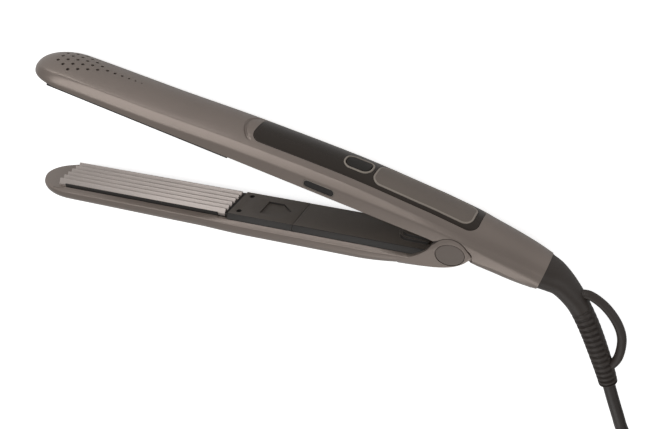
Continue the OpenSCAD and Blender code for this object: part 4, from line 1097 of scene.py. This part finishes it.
# %% Sleeve's route
relief_route = [(tail_len, end_y), (46.6, 0.7), (51.4, -1.1), (57.4, -5.1), (62.8, -9.9), (68.9, -16.7),
                (74.5, -23.9), (79.9, -31.4), (85.2, -39), (89, -45)]
sleeve_stop, tip_from, tip_run = len(relief_route) - 1, 8.84, 0.16
sleeve_d1, sleeve_d2, ribs, rib_depth, loop_d, ribs_from = 10.3, 8.8, 15, 1.15, 4.4, 4.15
sleeve_end = [(5, sleeve_d1/2), (8, mix(sleeve_d1, sleeve_d2, 0.6)/2), (sleeve_stop, sleeve_d2/2)]
relief_z = [(0, 11.4), (1, 9.8), (2, 8), (3, 6.6), (4, 5.4)] + sleeve_end
relief_n = [(0, 7.3), (1, 6.9), (2, 6.1), (3, 5.5), (4, 5.2)] + sleeve_end
rib_step = (sleeve_stop - ribs_from)/ribs
loop_route = [(60, -3.6, hw), (65, -1.9, hw), (73, -4.4, hw), (80.8, -10.3, hw), (85.8, -17.6, hw),
              (87.9, -26.8, hw), (87.2, -33, hw), (84.4, -37.4, hw)]
print("rib step", round(rib_step, 3), "of a route point")

# %% [markdown]
# Each ring of the sleeve is an oval across the route. The grooves are cut into its two faces
# and fade out on its edges.

# %% Sleeve's rings
def wave(u):
    """Depth of a groove along one rib step: steep sides and a round floor."""
    groove_share = 0.52
    u = u % 1
    return 0.0 if u > groove_share else math.sin(math.pi*u/groove_share)**0.5


def relief_ring(t):
    p = along(relief_route, t)
    d = along(relief_route, min(t + 0.03, sleeve_stop)) - along(relief_route, max(t - 0.03, 0))
    if t < 0.01:
        d = np.array((1, -end_tilt))
    d = d/np.linalg.norm(d)
    a, b = smooth(t, relief_z), smooth(t, relief_n)
    near_end = clip((t - tip_from)/tip_run)
    shrink = 1.3*(1 - math.sqrt(max(1 - near_end**2, 0)))
    groove = rib_depth*wave((t - ribs_from)/rib_step) if ribs_from < t < 8.8 else 0
    open_round = clip((t - 8.1)/0.2)
    fade = mix(0.45, 1, clip((t - ribs_from)/0.6))
    out = []
    for c, s in (polar(1, 5*i) for i in range(72)):
        face = clip((abs(c) - 0.22)/0.3)
        r = groove*mix(face*face*(3 - 2*face), 1, open_round)*fade + shrink
        out.append((p[0] - d[1]*(b - r)*s, p[1] + d[0]*(b - r)*s, hw + (a - r)*c))
    return out


stations = [k*0.12 for k in range(34)] + [ribs_from + k*rib_step/10 for k in range(ribs*10 - 5)]
stations += [tip_from + tip_run*math.sin(math.pi/2*k/8) for k in range(0, 9)]
stations = sorted(t for t in set(stations) if t <= sleeve_stop)
strain_relief = new_object("strain_relief_sleeve", *skin([relief_ring(t) for t in stations]))
print("sleeve", len(strain_relief.data.polygons), "faces")

# %% [markdown]
# The loop is a round tube along its own route. It and the spigot inside the handle are joined
# onto the sleeve.

# %% Loop and spigot
def round_tube(name, path, radius, count):
    rings = []
    for i, p in enumerate(path):
        d = np.array(path[min(i + 1, len(path) - 1)], float) - np.array(path[max(i - 1, 0)], float)
        d = d/np.linalg.norm(d)
        side = np.array((-d[1], d[0], 0))/math.hypot(d[0], d[1])
        up = np.cross(d, side)
        rings.append([tuple(np.array(p) + side*x + up*y)
                      for x, y in (polar(radius, 360*k/count) for k in range(count))])
    return new_object(name, *skin(rings))


loop = round_tube("loop", [tuple(along(loop_route, k*0.1)) for k in range(71)], loop_d/2, 28)
cut(strain_relief, [loop, plug_bar("spigot", tail_len - 10.2, tail_len + 2)], "UNION")
finish_piece(strain_relief, "casing", ["strain_relief"], 42, rubber_black)
print("strain relief", len(strain_relief.data.polygons), "faces")

# %% [markdown]
# ## Screws
# Each screw is a pan head with a cross recess. One Geometry Nodes tree makes the head, the
# shank and the recess from their sizes, and sets a screw on each point of a small grid.

# %% Screw tree
screw_sizes = {"Head": 0.0026, "Thick": 0.001, "Shank": 0.0016, "Long": 0.004,
               "Slot": 0.0004, "Deep": 0.0006, "Reach": 0.62, "Rows": 1, "Apart": 0.0, "Across": 0.0152,
               "Middle": (0.0, 0.0, 0.0), "Facing": (0.0, 0.0, 0.0), "Finish": zinc}
screw_tree, given = tree_with("cross_head_screws", screw_sizes)
head_r = add(screw_tree, "ShaderNodeMath", {0: given["Head"], 1: 0.5}, operation="MULTIPLY")
shank_r = add(screw_tree, "ShaderNodeMath", {0: given["Shank"], 1: 0.5}, operation="MULTIPLY")
head = add(screw_tree, "GeometryNodeMeshCylinder",
           {"Vertices": 32, "Radius": head_r, "Depth": given["Thick"]})
shank = add(screw_tree, "GeometryNodeMeshCylinder",
            {"Vertices": 20, "Radius": shank_r, "Depth": given["Long"]})
tall = add(screw_tree, "ShaderNodeMath", {0: given["Long"], 1: given["Thick"]}, operation="ADD")
below = add(screw_tree, "ShaderNodeMath", {0: tall, 1: -0.5}, operation="MULTIPLY")
drop = add(screw_tree, "ShaderNodeCombineXYZ", {"Z": below})
shank_low = add(screw_tree, "GeometryNodeTransform", {"Geometry": shank, "Translation": drop})
bar_long = add(screw_tree, "ShaderNodeMath", {0: given["Head"], 1: given["Reach"]}, operation="MULTIPLY")
bar_deep = add(screw_tree, "ShaderNodeMath", {0: given["Deep"], 1: 2.0}, operation="MULTIPLY")
bar_size = add(screw_tree, "ShaderNodeCombineXYZ", {"X": bar_long, "Y": given["Slot"], "Z": bar_deep})
bar = add(screw_tree, "GeometryNodeMeshCube", {"Size": bar_size})
top = add(screw_tree, "ShaderNodeMath", {0: given["Thick"], 1: 0.5}, operation="MULTIPLY")
lift = add(screw_tree, "ShaderNodeCombineXYZ", {"Z": top})
carve = add(screw_tree, "GeometryNodeMeshBoolean", {"Mesh 1": head}, operation="DIFFERENCE")
for turn in (0, math.pi/2):
    turned = add(screw_tree, "GeometryNodeTransform", {"Geometry": bar, "Translation": lift,
                                                       "Rotation": (0, 0, turn)})
    screw_tree.links.new(turned.outputs[0], carve.inputs["Mesh 2"])
one = add(screw_tree, "GeometryNodeJoinGeometry")
for part in (carve, shank_low):
    screw_tree.links.new(part.outputs[0], one.inputs[0])
spots = add(screw_tree, "GeometryNodeMeshGrid", {"Vertices X": given["Rows"], "Vertices Y": 2,
                                                 "Size X": given["Apart"], "Size Y": given["Across"]})
laid = add(screw_tree, "GeometryNodeTransform", {"Geometry": spots, "Translation": given["Middle"],
                                                 "Rotation": (math.pi/2, 0, 0)})
set_in = add(screw_tree, "GeometryNodeInstanceOnPoints", {"Points": laid, "Instance": one,
                                                          "Rotation": given["Facing"]})
finish_tree(screw_tree, [set_in], given["Finish"])
print("screw tree", len(screw_tree.nodes), "nodes")

# %% [markdown]
# The two strips and the hatch are screwed on. A head faces away from what it holds, and the
# lower arm's screws turn with it.

# %% Screws
cover_x0 = plate_x1 + 2
screw_x, rear_screw_x, hatch_screw_x = cover_x0 + 4.4, cover_x0 + 46.5, tail_len - 3.7
hatch_screw_y = belly_at(hatch_screw_x, 6.4) + 0.2 + 0.5
strip_xs = [screw_x, rear_screw_x]
for name, node, body, finish, xs, y, across, facing in (
        ("lower_strip_screws", "lower_cover_screws", "jaw", screw_dark, strip_xs[:1], -3, 15.2, -1),
        ("upper_strip_screws", "upper_cover_screws", "casing", screw_dark, strip_xs, 3, 15.2, 1),
        ("hatch_screws", "handle_screws", "casing", zinc, [hatch_screw_x], hatch_screw_y, 12.8, 1)):
    screw_sizes.update({"Rows": len(xs), "Apart": (xs[-1] - xs[0])*0.001, "Across": across*0.001,
                        "Middle": (sum(xs)/len(xs)*0.001, y*0.001, hw*0.001),
                        "Facing": (facing*math.pi/2, 0.0, 0.0), "Finish": finish})
    screws = grown(name, screw_tree, screw_sizes)
    if body == "jaw":
        screws.data.transform(TURN)
    finish_piece(screws, body, [node], 30, finish)
    print(name, len(screws.data.polygons), "faces")

# %% [markdown]
# ## Parts that keep their own shape
# Hinge pin, spring, heaters, board and leads sit deep inside. Their forms are right as they
# are, so they only get their real finish.

# %% Finishes of the inner parts
for node, material in (
        ("hinge_pin", zinc), ("opening_spring", zinc), ("cord_clip", zinc), ("upper_heater_clip", zinc),
        ("lower_heater_clip", zinc), ("upper_heater", alumina), ("lower_heater", alumina),
        ("upper_insulator", mica), ("lower_insulator", mica), ("thermal_fuse", nickel),
        ("circuit_board", laminate), ("inner_leads", silicone), ("tact_switch", switch_dark)):
    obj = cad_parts[node]
    for k in range(len(obj.material_slots)):
        obj.material_slots[k].material = material
print("shown as they are:", sorted(n for n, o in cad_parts.items() if not o.hide_render))

# %% [markdown]
# ## Table and light
# The tool lies on a white table. The camera sees the table a little brighter than it is, so
# that it reads as plain white and still keeps the tool's shadow.

# %% Table
floor = new_object("table", *skin([[(x, y, 0) for x in (-4000, 4000)] for y in (-4000, 4000)],
                                  around=False, cap=False))
table_white = bpy.data.materials.new("white_table")
table_white.use_nodes = True
tree = table_white.node_tree
tree.nodes.clear()
paths = add(tree, "ShaderNodeLightPath")
matte = add(tree, "ShaderNodeBsdfDiffuse", {"Color": (0.86, 0.86, 0.86, 1)})
glow = add(tree, "ShaderNodeEmission", {"Color": (1, 1, 1, 1), "Strength": 0.73})
lifted = add(tree, "ShaderNodeAddShader", {0: matte, 1: glow})
seen = add(tree, "ShaderNodeMixShader", {"Fac": paths.outputs["Is Camera Ray"], 1: matte, 2: lifted})
add(tree, "ShaderNodeOutputMaterial", {"Surface": seen})
floor.data.materials.append(table_white)
print("table", floor.dimensions.x, "m wide")

# %% [markdown]
# Soft boxes light it from four sides: the long box over the far side draws the highlight
# along the bevels, and a plain grey room fills the rest.

# %% Room and soft boxes
world = bpy.data.worlds.new("room")
bpy.context.scene.world = world
world.use_nodes = True
tree = world.node_tree
tree.nodes.clear()
paths = add(tree, "ShaderNodeLightPath")
strength = add(tree, "ShaderNodeMapRange",
               {"Value": paths.outputs["Is Camera Ray"], "To Min": 0.36, "To Max": 1.0})
room_light = add(tree, "ShaderNodeBackground", {"Color": (1, 1, 1, 1), "Strength": strength})
add(tree, "ShaderNodeOutputWorld", {"Surface": room_light})
target = Vector((-0.08, 0, 0.015))
for name, way, far, size, size_y, power in (
        ("long_box", (-0.46, 0.36, 0.84), 1.1, 1.0, 0.35, 2.6),
        ("front_box", (0.25, -0.7, 0.65), 1.3, 1.0, 0.7, 2.5),
        ("side_box", (0.9, 0.35, 0.5), 1.3, 0.6, 0.9, 1.6),
        ("back_box", (-0.66, 0.72, 0.2), 1.3, 0.9, 0.3, 1.9)):
    light = bpy.data.lights.new(name, "AREA")
    light.shape = "RECTANGLE"
    light.size, light.size_y, light.energy = size, size_y, power
    lamp = linked(name, light)
    place = target + Vector(way).normalized()*far
    lamp.location = place
    lamp.rotation_euler = (target - place).to_track_quat("-Z", "Y").to_euler()
bpy.context.scene.view_settings.view_transform = "Standard"
print("lights", len(bpy.data.lights))
